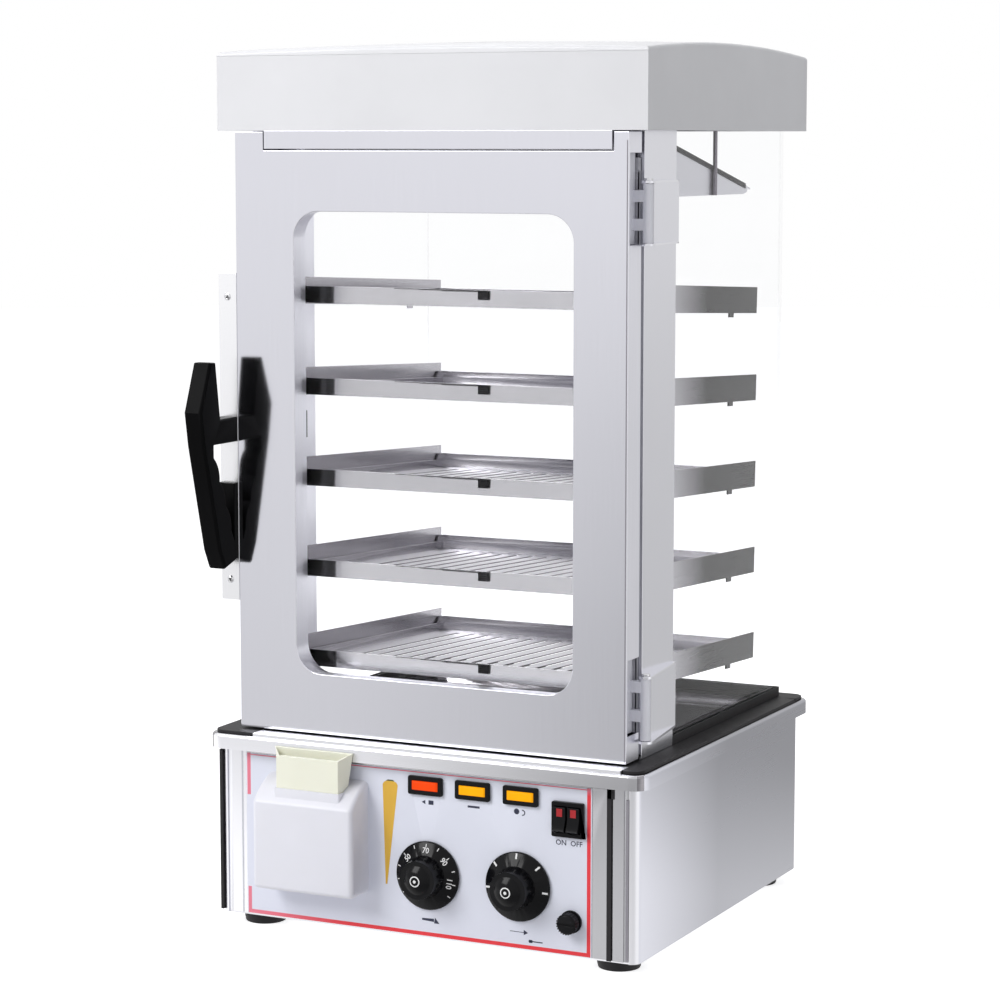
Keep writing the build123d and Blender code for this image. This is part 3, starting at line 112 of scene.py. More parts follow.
class Look(StrEnum):
    """Finishes of single pieces and faces that differ from their slot's."""

    HINGE_STEEL = auto()
    ROD_STEEL = auto()
    FOLDED_EDGE = auto()
    SIDE_STEEL = auto()
    RIM_STEEL = auto()
    PLATE_STEEL = auto()
    FRAME_STEEL = auto()
    ARM_STEEL = auto()
    TRAY_FRONT = auto()
    TRAY_FLOOR = auto()
    BAFFLE_STEEL = auto()
    GREY_GASKET = auto()
    GROUND_EDGE = auto()


class Ink(Enum):
    """Colours of the printed marks, with the slot that each print belongs to."""

    DARK = ("printed_dark", (0.018, 0.022, 0.055), Slot.PRINTED_FASCIA)
    WHITE = ("printed_white", (0.86, 0.86, 0.86), Slot.GLOSS_BLACK)
    RED = ("printed_red", (0.42, 0.006, 0.012), Slot.GLOSS_BLACK)
    YELLOW = ("printed_yellow", (0.80, 0.47, 0.05), Slot.PRINTED_FASCIA)
    GREEN = ("printed_green", (0.07, 0.09, 0.03), Slot.PRINTED_FASCIA)
    # Painted shadow along the trays' folded hems
    SHADOW_LINE = ("painted_shadow_line", (0.035, 0.033, 0.037), Slot.BLACK_RUBBER)
    SEAM = ("seam_line", (0.26, 0.25, 0.28), Slot.BLACK_RUBBER)

    def __init__(self, label: str, colour: Colour, slot: Slot) -> None:
        """Names the three parts of an ink's value."""
        self.label, self.colour, self.slot = label, colour, slot


Finish = Slot | Look | Ink


def shade(colour: Colour, share: float = 1.0) -> tuple[float, ...]:
    """A share of a colour, with full cover."""
    return (*(min(c * share, 1.0) for c in colour), 1.0)


def metres(sizes: Point) -> Point:
    """Three sizes in millimetres, given in metres."""
    return tuple(size * MM for size in sizes)


# Node trees


@dataclass
class Wiring:
    """Adds nodes to a node tree and joins their sockets."""

    tree: NodeTree

    def feed(self, node: bpy.types.Node, inputs: Inputs) -> None:
        """Sets a node's inputs.

        Args:
            node: the node.
            inputs: values or source sockets by the input's name or number.
        """
        for key, value in inputs.items():
            if isinstance(value, Socket):
                self.tree.links.new(value, node.inputs[key])
            else:
                node.inputs[key].default_value = value

    def add(self, kind: str, inputs: Inputs | None = None, **settings: Any) -> bpy.types.Node:
        """Adds one node.

        Args:
            kind: Blender's name of the node type.
            inputs: values or source sockets by the input's name or number.
            **settings: the node's own properties.

        Returns:
            The new node.
        """
        node = self.tree.nodes.new(kind)
        for name, value in settings.items():
            setattr(node, name, value)
        self.feed(node, inputs or {})
        return node

    def out(self, kind: str, inputs: Inputs | None = None, **settings: Any) -> Socket:
        """Adds one node and gives its first output."""
        return self.add(kind, inputs, **settings).outputs[0]

    def math(self, operation: str, *values: Any, clamp: bool = False) -> Socket:
        """The result of a math node, or of a chain of them for more than two values.

        Args:
            operation: Blender's name of the operation.
            *values: numbers or source sockets.
            clamp: keeps each result between 0 and 1.

        Returns:
            The last node's result.
        """
        settings = {"operation": operation, "use_clamp": clamp}
        result = self.out("ShaderNodeMath", dict(enumerate(values[:2])), **settings)
        for value in values[2:]:
            result = self.out("ShaderNodeMath", {0: result, 1: value}, **settings)
        return result

    def vector_math(self, operation: str, *values: Any) -> Sequence[Socket]:
        """The vector and the value that a vector math node gives."""
        return self.add("ShaderNodeVectorMath", dict(enumerate(values)), operation=operation).outputs

    def vector(self, x: Any, y: Any, z: Any) -> Socket:
        """A vector from its three values."""
        return self.out("ShaderNodeCombineXYZ", {0: x, 1: y, 2: z})

    def axes(self, vector: Socket) -> Sequence[Socket]:
        """A vector's three values."""
        return self.add("ShaderNodeSeparateXYZ", {0: vector}).outputs

    def noise(self, place: Socket, scale: Any, detail: float, roughness: float = 0.5) -> Sequence[Socket]:
        """The value and the colour of a noise texture."""
        inputs = {"Vector": place, "Scale": scale, "Detail": detail, "Roughness": roughness}
        return self.add("ShaderNodeTexNoise", inputs).outputs

    def blend(self, share: Any, first: Any, second: Any) -> Socket:
        """The colour between two colours."""
        return self.add("ShaderNodeMix", {0: share, 6: first, 7: second}, data_type="RGBA").outputs[2]

    def spread(self, value: Socket, low: float, high: float, to_low: float = 0.0,
               to_high: float = 1.0) -> Socket:
        """A value mapped from one range to another and kept inside it."""
        return self.out("ShaderNodeMapRange", {0: value, 1: low, 2: high, 3: to_low, 4: to_high})

    def toned(self, value: Socket, colour: Colour, change: float) -> Socket:
        """A colour made darker or lighter by up to a share of itself, as a noise's value has it."""
        dark, light = shade(colour, 1.0 - change), shade(colour, 1.0 + change)
        return self.blend(self.spread(value, *MIDDLE), dark, light)

    def relief(self, height: Socket, strength: float, depth: float) -> Socket:
        """The normal of a skin in relief, its depth in millimetres."""
        return self.out("ShaderNodeBump", {"Height": height, "Strength": strength, "Distance": depth * MM})

    def group(self, tree: NodeTree, **inputs: Any) -> Sequence[Socket]:
        """The outputs of a shader group, its inputs given by name."""
        return self.add("ShaderNodeGroup", inputs, node_tree=tree).outputs


def new_group(name: str, kind: str, inputs: Mapping[str, str], outputs: Mapping[str, str]) -> Wiring:
    """Starts a node group with named inputs and outputs.

    Args:
        name: the group's name.
        kind: Shader or Geometry.
        inputs: what kind of socket each input is, by its name.
        outputs: the same for the outputs.

    Returns:
        The wiring of the new tree.
    """
    tree = bpy.data.node_groups.new(name, f"{kind}NodeTree")
    for direction, sockets in (("INPUT", inputs), ("OUTPUT", outputs)):
        for label, socket_kind in sockets.items():
            tree.interface.new_socket(label, in_out=direction, socket_type=f"NodeSocket{socket_kind}")
    return Wiring(tree)


def cleared(owner: Material | bpy.types.World) -> Wiring:
    """Empties the node tree of a material or a world.

    Args:
        owner: the material or the world.

    Returns:
        The wiring of its tree.
    """
    owner.use_nodes = True
    owner.node_tree.nodes.clear()
    return Wiring(owner.node_tree)


def grain_group() -> NodeTree:
    """Brushed grain: fine lines along one direction, and the slow change of sheen between sheets."""
    w = new_group("brushed_grain", "Shader", {"Vector": "Vector", "Stretch": "Vector"},
                  {"Height": "Float", "Sheen": "Float"})
    entry = w.add("NodeGroupInput").outputs
    stretched = w.vector_math("MULTIPLY", entry["Vector"], entry["Stretch"])[0]
    lines = w.noise(stretched, scale=1.0, detail=3.0, roughness=0.62)[0]
    clouds = w.noise(entry["Vector"], scale=7.0, detail=2.0)[0]
    lines_share = 0.55
    clouds_share = 0.45
    sheen = w.math("ADD", w.math("MULTIPLY", lines, lines_share), w.math("MULTIPLY", clouds, clouds_share))
    w.add("NodeGroupOutput", {"Height": lines, "Sheen": sheen})
    return w.tree


def peel_group() -> NodeTree:
    """Moulded or sprayed skin: the fine unevenness of plastic, rubber and paint."""
    w = new_group("moulded_skin", "Shader", {"Vector": "Vector", "Scale": "Float"},
                  {"Height": "Float", "Cloud": "Float"})
    entry = w.add("NodeGroupInput").outputs
    skin = w.noise(entry["Vector"], entry["Scale"], detail=2.0)[0]
    cloud = w.noise(entry["Vector"], scale=11.0, detail=3.0)[0]
    w.add("NodeGroupOutput", {"Height": skin, "Cloud": cloud})
    return w.tree


def smudge_group() -> NodeTree:
    """Handling marks: faint wiped streaks and spots that dull a clean surface."""
    w = new_group("wiped_marks", "Shader", {"Vector": "Vector", "Scale": "Float"}, {"Mask": "Float"})
    entry = w.add("NodeGroupInput").outputs
    bent = w.noise(entry["Vector"], scale=3.0, detail=1.0)["Color"]
    moved = w.vector_math("MULTIPLY_ADD", entry["Vector"], bent, entry["Vector"])[0]
    spots = w.noise(moved, entry["Scale"], detail=5.0, roughness=0.68)[0]
    w.add("NodeGroupOutput", {"Mask": w.spread(spots, 0.48, 0.72)})
    return w.tree


def studio_group() -> NodeTree:
    """Brightness of the studio as steel mirrors it: full to the front left, darker behind and low ahead."""
    w = new_group("studio_light", "Shader", {}, {"Brightness": "Float"})
    # This vector points back along the ray, so +X of it is a ray to the left and +Y a ray to the front
    ray = w.add("ShaderNodeNewGeometry").outputs["Incoming"]
    left, ahead, _ = w.axes(ray)
    front_left = w.vector_math("DOT_PRODUCT", ray, (0.78, 0.62, 0.0))["Value"]
    height = w.vector_math("DOT_PRODUCT", ray, (0.0, 0.0, -1.0))["Value"]
    side = w.spread(front_left, -1.0, 1.0, 0.84, 1.05)
    level = w.spread(height, -0.45, 0.06, 0.55, 1.0)
    not_far_left = w.spread(left, 0.48, 0.36, 0.0, 0.34)
    low = w.spread(height, -0.03, -0.17)
    dim = w.math("MULTIPLY", not_far_left, low, w.spread(ahead, 0.3, 0.6))
    w.add("NodeGroupOutput", {"Brightness": w.math("MULTIPLY", side, level, w.math("SUBTRACT", 1.0, dim))})
    return w.tree


@dataclass
class Effects:
    """The shader groups that the finishes share, each built once."""

    grain: NodeTree = field(default_factory=grain_group)
    peel: NodeTree = field(default_factory=peel_group)
    smudge: NodeTree = field(default_factory=smudge_group)
    studio: NodeTree = field(default_factory=studio_group)


EFFECTS = Effects()


def new_material(name: str) -> tuple[Material, Wiring, bpy.types.Node, Socket]:
    """Starts a material with a Principled shader.

    Args:
        name: the material's name.

    Returns:
        The material, its wiring, its shader and the object coordinates.
    """
    material = bpy.data.materials.new(name)
    w = cleared(material)
    shader = w.add("ShaderNodeBsdfPrincipled")
    w.add("ShaderNodeOutputMaterial", {"Surface": shader.outputs[0]})
    return material, w, shader, w.add("ShaderNodeTexCoord").outputs["Object"]


# Finishes


@dataclass(frozen=True)
class PaintedShade:
    """Painted shade along one axis: the finish's full colour at the start, a share of it at the end, in
    metres.
    """

    axis: int
    start: float
    end: float
    share: float


@dataclass(frozen=True)
class BrushedSteel:
    """Stainless sheet with a brushed or rolled grain."""

    colour: Colour
    roughness: float
    stretch: Point
    depth: float
    tone: float
    metallic: float = 1.0
    marks: float = 0.10
    sway: float = 0.14
    # Painted shade along one axis, where given
    fade: PaintedShade | None = None

    def build(self, name: str) -> Material:
        """Builds the material: tone, sheen and relief all follow the grain; a painted shade, where given,
        darkens it along one axis.

        Args:
            name: the material's name.

        Returns:
            The material.
        """
        material, w, shader, place = new_material(name)
        height, sheen = w.group(EFFECTS.grain, Vector=place, Stretch=self.stretch)
        marks = w.group(EFFECTS.smudge, Vector=place, Scale=9.0)[0]
        tint = w.toned(sheen, self.colour, self.tone)
        # Painted shade: the colour falls to a share of itself along one axis
        if self.fade is not None:
            along = w.spread(w.axes(place)[self.fade.axis], self.fade.start, self.fade.end)
            tint = w.blend(along, tint, shade(self.colour, self.fade.share))
        smooth, dull = (self.roughness * (1.0 + sway) for sway in (-self.sway, self.sway))
        gloss = w.spread(sheen, *WIDER_MIDDLE, smooth, dull)
        rough = w.math("ADD", gloss, w.math("MULTIPLY", marks, self.marks * self.roughness))
        w.feed(shader, {"Base Color": tint, "Roughness": rough, "Metallic": self.metallic,
                        "Normal": w.relief(height, strength=0.35, depth=self.depth)})
        return material


@dataclass(frozen=True)
class MouldedSkin:
    """Plastic, rubber or sprayed paint with a fine skin and faint handling marks."""

    colour: Colour
    roughness: float
    grain_scale: float
    depth: float
    cloud: float
    coat: float = 0.0
    specular: float = 0.5
    see_through: float = 0.0
    cover: float = 1.0

    def build(self, name: str) -> Material:
        """Builds the material: skin relief, clouded tone and wiped marks in the gloss.

        Args:
            name: the material's name.

        Returns:
            The material.
        """
        material, w, shader, place = new_material(name)
        height, cloud = w.group(EFFECTS.peel, Vector=place, Scale=self.grain_scale)
        marks = w.group(EFFECTS.smudge, Vector=place, Scale=14.0)[0]
        gloss = w.spread(height, *WIDER_MIDDLE, self.roughness * 0.92, self.roughness * 1.08)
        rough = w.math("ADD", gloss, w.math("MULTIPLY", marks, 0.12 * self.roughness))
        w.feed(shader, {"Base Color": w.toned(cloud, self.colour, self.cloud), "Roughness": rough,
                        "Normal": w.relief(height, strength=0.3, depth=self.depth), "Coat Weight": self.coat,
                        "Coat Roughness": 0.06, "Specular IOR Level": self.specular, "Alpha": self.cover,
                        "Subsurface Weight": self.see_through, "Subsurface Radius": (0.004, 0.004, 0.0035)})
        return material


@dataclass(frozen=True)
class LitLens:
    """A lamp's tinted lens with moulded prisms, lit from behind in the middle."""

    colour: Colour
    glow: Colour
    strength: float
    centres: tuple[float, ...]
    reach: float = 12.5 * MM
    prisms_per_metre: float = 4200.0

    def build(self, name: str) -> Material:
        """Builds the material: rows of prisms in relief and a glow that fades to the lens's rim.

        Args:
            name: the material's name.

        Returns:
            The material.
        """
        material, w, shader, place = new_material(name)
        x, _, z = w.axes(place)
        waves = [w.math("SINE", w.math("MULTIPLY", axis, self.prisms_per_metre)) for axis in (x, z)]
        prisms = w.math("MULTIPLY", *waves)
        near, *others = [w.math("ABSOLUTE", w.math("SUBTRACT", x, centre)) for centre in self.centres]
        for other in others:
            near = w.math("MINIMUM", near, other)
        rim_share = 0.72
        fade = w.spread(near, 0.0, self.reach, 1.0, rim_share)
        glow = w.blend(fade, shade(self.glow, 0.5), shade(self.glow))
        tint = w.blend(w.spread(prisms, -1.0, 1.0), shade(self.colour, 0.86), shade(self.colour))
        w.feed(shader, {"Base Color": tint, "Emission Color": glow, "Emission Strength": self.strength,
                        "Specular IOR Level": 0.12, "Roughness": 0.22,
                        "Normal": w.relief(prisms, strength=0.25, depth=0.08)})
        return material


@dataclass(frozen=True)
class ClearPane:
    """Tempered glass that lets its light and shadow through."""

    tint: Colour = (0.995, 0.997, 1.0)

    def build(self, name: str) -> Material:
        """Builds the material: a glass shader, clear to shadow rays, with faint wiped streaks.

        Args:
            name: the material's name.

        Returns:
            The material.
        """
        material, w, shader, place = new_material(name)
        marks = w.group(EFFECTS.smudge, Vector=place, Scale=6.0)[0]
        tint = w.blend(w.math("MULTIPLY", marks, 0.5), shade(self.tint), shade(self.tint, 0.985))
        w.feed(shader, {"Base Color": tint, "Roughness": w.spread(marks, 0.0, 1.0, 0.0, 0.02),
                        "Transmission Weight": 1.0, "IOR": 1.12})
        clear = w.out("ShaderNodeBsdfTransparent", {0: shade(self.tint)})
        path = w.add("ShaderNodeLightPath").outputs
        passing = w.math("MAXIMUM", path["Is Shadow Ray"], path["Is Diffuse Ray"])
        mixed = w.out("ShaderNodeMixShader", {0: passing, 1: shader.outputs[0], 2: clear})
        output = next(node for node in w.tree.nodes if node.type == "OUTPUT_MATERIAL")
        w.feed(output, {"Surface": mixed})
        return material


@dataclass(frozen=True)
class FasciaSheet:
    """The fascia's printed sheet: pale ground inside a red border, in metres."""

    left: float = -159.6 * MM
    right: float = 147.0 * MM
    low: float = 12.0 * MM
    high: float = 144.2 * MM
    line: float = 3.2 * MM
    thin: float = 0.9 * MM
    margin: float = 0.8 * MM
    soft: float = 0.06 * MM
    gap: tuple[float, float] = (34.0 * MM, 110.0 * MM)
    side_fade: tuple[float, ...] = (0.004, 0.09, 1.0, 0.0)
    top_fade: tuple[float, ...] = (0.002, 0.006, 0.8, 0.0)
    ground: Colour = (0.80, 0.82, 0.92)
    red: Colour = (0.86, 0.035, 0.05)
    pink: Colour = (0.86, 0.22, 0.30)

    def build(self, name: str) -> Material:
        """Builds the material: a red line below and on the right, pink stretches left, a thin line above.

        Args:
            name: the material's name.

        Returns:
            The material.
        """
        material, w, shader, place = new_material(name)
        across, _, level = w.axes(place)
        from_left = w.math("SUBTRACT", across, self.left)
        from_right = w.math("SUBTRACT", self.right, across)
        from_low = w.math("SUBTRACT", level, self.low)
        from_high = w.math("SUBTRACT", self.high, level)
        edge = self.margin + self.line
        right, left = (self.band(w, value, self.margin, edge) for value in (from_right, from_left))
        low = self.band(w, from_low, 0.0, self.line)
        high = self.band(w, from_high, self.margin, self.margin + self.thin)
        left = w.math("MULTIPLY", left, w.math("SUBTRACT", 1.0, self.band(w, level, *self.gap)))
        everything = 1.0
        inside = [self.band(w, value, self.margin, everything) for value in (from_left, from_right)]
        border = w.math("MULTIPLY", w.math("MAXIMUM", right, low, left, high), *inside)
        faded = w.math("MAXIMUM", w.spread(from_left, *self.side_fade), w.spread(from_high, *self.top_fade))
        ink = w.blend(faded, shade(self.red), shade(self.pink))
        height, cloud = w.group(EFFECTS.peel, Vector=place, Scale=1400.0)
        ground = w.blend(cloud, shade(self.ground, 0.97), shade(self.ground))
        w.feed(shader, {"Base Color": w.blend(border, ground, ink),
                        "Roughness": w.spread(cloud, *WIDER_MIDDLE, 0.30, 0.38),
                        "Normal": w.relief(height, strength=0.2, depth=0.01)})
        return material

    def band(self, w: Wiring, value: Socket, low: float, high: float) -> Socket:
        """1 where a value lies between two bounds, with a soft edge."""
        rise = w.spread(value, low - self.soft, low + self.soft)
        return w.math("MULTIPLY", rise, w.spread(value, high - self.soft, high + self.soft, 1.0, 0.0))


# Stretches of the grain: its lines run along the axes with low numbers
ROLLED = (12.0, 12.0, 900.0)
LEVEL = (24.0, 24.0, 900.0)
UPRIGHT = (900.0, 900.0, 18.0)
FINE_UPRIGHT = (1500.0, 1500.0, 22.0)
DOOR_UPRIGHT = (1400.0, 1400.0, 18.0)
COARSE_UPRIGHT = (500.0, 500.0, 40.0)

RECIPES: dict[Finish, Any] = {
    Slot.HOUSING_STEEL: BrushedSteel((0.82, 0.82, 0.86), 0.28, ROLLED, 0.0006, 0.01, marks=0.0, sway=0.03),
    Slot.CABINET_STEEL: BrushedSteel((0.82, 0.82, 0.87), 0.24, FINE_UPRIGHT, 0.003, 0.02, marks=0.03),
    Slot.DOOR_STEEL: BrushedSteel((0.74, 0.74, 0.80), 0.10, DOOR_UPRIGHT, 0.0015, 0.015, marks=0.02),
    # Tray and tank steel are far darker than the other stainless: painted shade of the trays inside the
    # cabinet and of the tank's deep well
    Slot.TRAY_STEEL: BrushedSteel((0.44, 0.43, 0.46), 0.20, (24.0, 24.0, 1300.0), 0.006, 0.08),
    Slot.TANK_STEEL: BrushedSteel((0.30, 0.29, 0.31), 0.16, (34.0, 34.0, 900.0), 0.004, 0.08),
    Slot.BRIGHT_CHROME: BrushedSteel((0.72, 0.72, 0.74), 0.14, (700.0, 700.0, 60.0), 0.003, 0.05),
    Slot.BRASS_FITTING: BrushedSteel((0.70, 0.52, 0.24), 0.26, (500.0, 90.0, 500.0), 0.006, 0.10),
    Slot.CAP_PAINT: MouldedSkin((0.76, 0.76, 0.78), 0.42, 700.0, 0.015, 0.02, coat=0.10),
    Slot.PRINTED_FASCIA: FasciaSheet(),
    Slot.WHITE_PLASTIC: MouldedSkin((0.82, 0.82, 0.88), 0.36, 1100.0, 0.01, 0.02, see_through=0.12),
    Slot.CREAM_PLASTIC: MouldedSkin((0.92, 0.92, 0.78), 0.34, 1100.0, 0.01, 0.03, see_through=0.25),
    Slot.BLACK_PLASTIC: MouldedSkin((0.006, 0.006, 0.007), 0.38, 1200.0, 0.02, 0.12, specular=0.13),
    Slot.GLOSS_BLACK: MouldedSkin((0.004, 0.004, 0.005), 0.15, 900.0, 0.006, 0.10, specular=0.14),
    Slot.HANDLE_BLACK: MouldedSkin((0.002, 0.002, 0.0024), 0.46, 1300.0, 0.04, 0.12, specular=0.05),
    Slot.RED_LENS: LitLens((0.50, 0.035, 0.003), (1.0, 0.075, 0.002), 0.62, (4.3 * MM,)),
    Slot.AMBER_LENS: LitLens((0.62, 0.26, 0.002), (1.0, 0.40, 0.001), 0.70, (45.6 * MM, 87.2 * MM)),
    Slot.BLACK_RUBBER: MouldedSkin((0.016, 0.015, 0.017), 0.55, 800.0, 0.03, 0.15, specular=0.30),
    Slot.CLEAR_GLASS: ClearPane(),
    Look.HINGE_STEEL: BrushedSteel((0.84, 0.84, 0.90), 0.5, COARSE_UPRIGHT, 0.004, 0.04, metallic=0.1,
                                   marks=0.03),
    Look.ROD_STEEL: BrushedSteel((0.17, 0.155, 0.18), 0.34, COARSE_UPRIGHT, 0.004, 0.06),
    Look.FOLDED_EDGE: BrushedSteel((0.88, 0.88, 0.94), 0.36, UPRIGHT, 0.004, 0.03, marks=0.03),
    # Base sides: painted shade, darker towards the back
    Look.SIDE_STEEL: BrushedSteel((0.69, 0.695, 0.76), 0.28, ROLLED, 0.0006, 0.01, marks=0.0, sway=0.03,
                                  fade=PaintedShade(Y, -0.165, -0.01, 0.58)),
    # Rim: painted shade, darker towards the right
    Look.RIM_STEEL: BrushedSteel((0.88, 0.88, 0.92), 0.22, ROLLED, 0.0006, 0.02, marks=0.0, sway=0.05,
                                 fade=PaintedShade(X, -0.04, 0.17, 0.62)),
    Look.PLATE_STEEL: BrushedSteel((0.97, 0.97, 1.0), 0.22, UPRIGHT, 0.002, 0.01, marks=0.02, sway=0.05),
    # Front frame and front panel: painted shade, darker towards the right
    Look.FRAME_STEEL: BrushedSteel((0.86, 0.86, 0.90), 0.26, ROLLED, 0.0006, 0.01, marks=0.0, sway=0.03,
                                   fade=PaintedShade(X, 0.04, 0.15, 0.58)),
    # Tray arms: a darker copy of the steel as painted shade inside the cabinet, and painted shade falling
    # almost to black towards the back
    Look.ARM_STEEL: BrushedSteel((0.40, 0.39, 0.42), 0.28, LEVEL, 0.001, 0.02, marks=0.02, sway=0.05,
                                 fade=PaintedShade(Y, -0.04, 0.04, 0.01)),
    # Tray front flanges: a darker copy of the steel as painted shade, with a painted dark reflection on the
    # left end, left of X = -102.5 mm
    Look.TRAY_FRONT: BrushedSteel((0.43, 0.425, 0.445), 0.24, LEVEL, 0.003, 0.03, marks=0.02,
                                  fade=PaintedShade(X, -0.1005, -0.1025, 0.17)),
    Look.TRAY_FLOOR: BrushedSteel((0.74, 0.73, 0.77), 0.36, (900.0, 20.0, 900.0), 0.003, 0.04, marks=0.04),
    Look.BAFFLE_STEEL: BrushedSteel((0.52, 0.52, 0.56), 0.30, (900.0, 18.0, 900.0), 0.003, 0.03, marks=0.03),
    Look.GREY_GASKET: MouldedSkin((0.50, 0.50, 0.54), 0.5, 800.0, 0.02, 0.08),
    Look.GROUND_EDGE: MouldedSkin((0.80, 0.80, 0.90), 0.45, 900.0, 0.01, 0.03, cover=0.05),
}
FINISHES = {key: recipe.build(key.value) for key, recipe in RECIPES.items()}
FINISHES |= {ink: MouldedSkin(ink.colour, 0.40, 1500.0, 0.004, 0.06).build(ink.label) for ink in Ink}
SLOT_OF = {part["node"]: Slot(part["material_slot"]) for part in frame["record"]["subparts"]}
BODY_OF = {node: body for body, nodes in frame["record"]["behaviour"]["bodies"].items() for node in nodes}


# Making meshes


def put(name: str, data: bpy.types.ID) -> bpy.types.Object:
    """Puts an object in the scene.

    Args:
        name: the object's name.
        data: its mesh, curve, lamp or camera.

    Returns:
        The object.
    """
    item = bpy.data.objects.new(name, data)
    bpy.context.scene.collection.objects.link(item)
    return item


def plain_mesh(work: bmesh.types.BMesh, name: str) -> Mesh:
    """Turns a work mesh into a plain one.

    Args:
        work: the work mesh, which is freed.
        name: the plain mesh's name.

    Returns:
        The plain mesh.
    """
    mesh = bpy.data.meshes.new(name)
    work.to_mesh(mesh)
    work.free()
    return mesh


def smoothed(mesh: Mesh, degrees: float) -> Mesh:
    """Makes a mesh smooth except at its edges.

    Args:
        mesh: the mesh.
        degrees: the angle between faces from which an edge is sharp.

    Returns:
        The same mesh.
    """
    mesh.shade_smooth()
    mesh.set_sharp_from_angle(angle=math.radians(degrees))
    return mesh


def evaluated(item: bpy.types.Object, name: str) -> Mesh:
    """The plain mesh that an object's modifiers give; the object itself is removed.

    Args:
        item: the object with its modifiers.
        name: the new mesh's name.

    Returns:
        The new mesh.
    """
    graph = bpy.context.evaluated_depsgraph_get()
    mesh = bpy.data.meshes.new_from_object(item.evaluated_get(graph), depsgraph=graph)
    mesh.name = name
    bpy.data.objects.remove(item)
    return mesh


def new_piece(name: str, mesh: Mesh, body: str, slot: Slot, finish: Finish | None = None) -> bpy.types.Object:
    """Puts a finished mesh in the scene and lets it ride on a body.

    Args:
        name: the piece's name.
        mesh: its mesh, in place.
        body: the CAD body that carries it.
        slot: the record's slot that it belongs to.
        finish: its finish, where that isn't the slot's own.

    Returns:
        The new object.
    """
    piece = put(name, mesh)
    mesh.materials.clear()
    mesh.materials.append(FINISHES[finish or slot])
    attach(piece, body)
    LOG.info("piece %s on %s: %d faces", name, body, len(mesh.polygons))
    return piece


class Surface:
    """The skin of one or more CAD nodes, for seating fasteners on it and laying prints on it."""

    def __init__(self, *nodes: str) -> None:
        """Reads the nodes' meshes.

        Args:
            *nodes: the names of the nodes.
        """
        points: list[Vector] = []
        faces: list[tuple[int, ...]] = []
        for node in nodes:
            mesh = frame["nodes"][node].data
            start = len(points)
            points += [v.co.copy() for v in mesh.vertices]
            faces += [tuple(start + i for i in face.vertices) for face in mesh.polygons]
        self.tree = BVHTree.FromPolygons(points, faces)

    def hit(self, start: Point, along: Point) -> tuple[Vector, Vector]:
        """The first point of the skin from a start point, and the skin's normal there.

        Args:
            start: where the ray starts, in millimetres.
            along: its direction.

        Returns:
            The point in metres and the normal against the ray.

        Raises:
            ValueError: if the ray meets nothing.
        """
        direction = Vector(along).normalized()
        place, normal, _, _ = self.tree.ray_cast(Vector([c * MM for c in start]), direction)
        if place is None:
            raise ValueError(f"nothing lies along {along} from {start}")
        return place, normal if normal.dot(direction) < 0 else -normal


def on_axis(axis: int) -> FacePick:
    """Picks the faces that look along an axis, either way."""
    return lambda face: abs(face.normal[axis]) > FACING


def off_axis(axis: int) -> FacePick:
    """Picks the faces that don't look along an axis."""
    return lambda face: abs(face.normal[axis]) <= FACING


def beyond(axis: int, distance: float) -> FacePick:
    """Picks the faces farther from the middle than a distance in millimetres."""
    return lambda face: abs(face.center[axis]) > distance * MM


@dataclass
class Shell:
    """A finished copy of a CAD node: doubles merged, edges rounded, curved faces smooth.

    Faces that a test of others picks take the finish given with it, the first that fits. A pierced sheet
    keeps the small faces between its openings. The edge's radius and the gaps are millimetres, the angles
    degrees.
    """

    node: str
    edge: float
    steps: int = 2
    others: Sequence[tuple[Finish, FacePick]] = ()
    finish: Finish | None = None
    pierced: bool = False
    angle: float = 32.0
    flat_angle: float = 0.6
    double_gap: float = 0.002
    sliver: float = 0.001

    def build(self) -> bpy.types.Object:
        """Builds the copy and lets it stand for the node."""
        name = f"{self.node}_finished"
        piece = new_piece(name, self.rounded(name), BODY_OF[self.node], SLOT_OF[self.node], self.finish)
        for finish, _ in self.others:
            piece.data.materials.append(FINISHES[finish])
        for face in piece.data.polygons if self.others else ():
            face.material_index = next((i for i, (_, picks) in enumerate(self.others, 1) if picks(face)), 0)
        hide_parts(self.node)
        return piece

    def rounded(self, name: str) -> Mesh:
        """Cleans the node's mesh and rounds its edges.

        Args:
            name: the new mesh's name.

        Returns:
            The new mesh.
        """
        work = bmesh.new()
        work.from_mesh(frame["nodes"][self.node].data)
        bmesh.ops.remove_doubles(work, verts=work.verts, dist=self.double_gap * MM)
        bmesh.ops.dissolve_degenerate(work, edges=work.edges, dist=self.sliver * MM)
        if not self.pierced:
            bmesh.ops.dissolve_limit(work, angle_limit=math.radians(self.flat_angle), verts=work.verts,
                                     edges=work.edges)
        copy = put("work", smoothed(plain_mesh(work, self.node), self.angle))
        if self.edge > 0:
            bevel = copy.modifiers.new("edge", "BEVEL")
            bevel.width = self.edge * MM
            bevel.segments = self.steps
            bevel.limit_method = "ANGLE"
            bevel.angle_limit = math.radians(self.angle)
            bevel.miter_outer = "MITER_ARC"
            bevel.harden_normals = True
        return evaluated(copy, name)


FinishedEdges = Sequence[tuple[str, float, Look]]
Sheets = Sequence[tuple[str, float, Look, int]]


def plain_shells(edges: Edges) -> None:
    """Builds shells from their nodes and the radius of their edges."""
    for node, edge in edges:
        Shell(node, edge).build()


def finished_shells(shells: FinishedEdges) -> None:
    """Builds shells with a finish of their own, from node, edge and finish."""
    for node, edge, finish in shells:
        Shell(node, edge, finish=finish).build()


def sheet_shells(sheets: Sheets) -> None:
    """Builds shells of sheets, from node, edge, the finish of their rims and the axis across the sheet."""
    for node, edge, rim, axis in sheets:
        Shell(node, edge, others=[(rim, off_axis(axis))]).build()


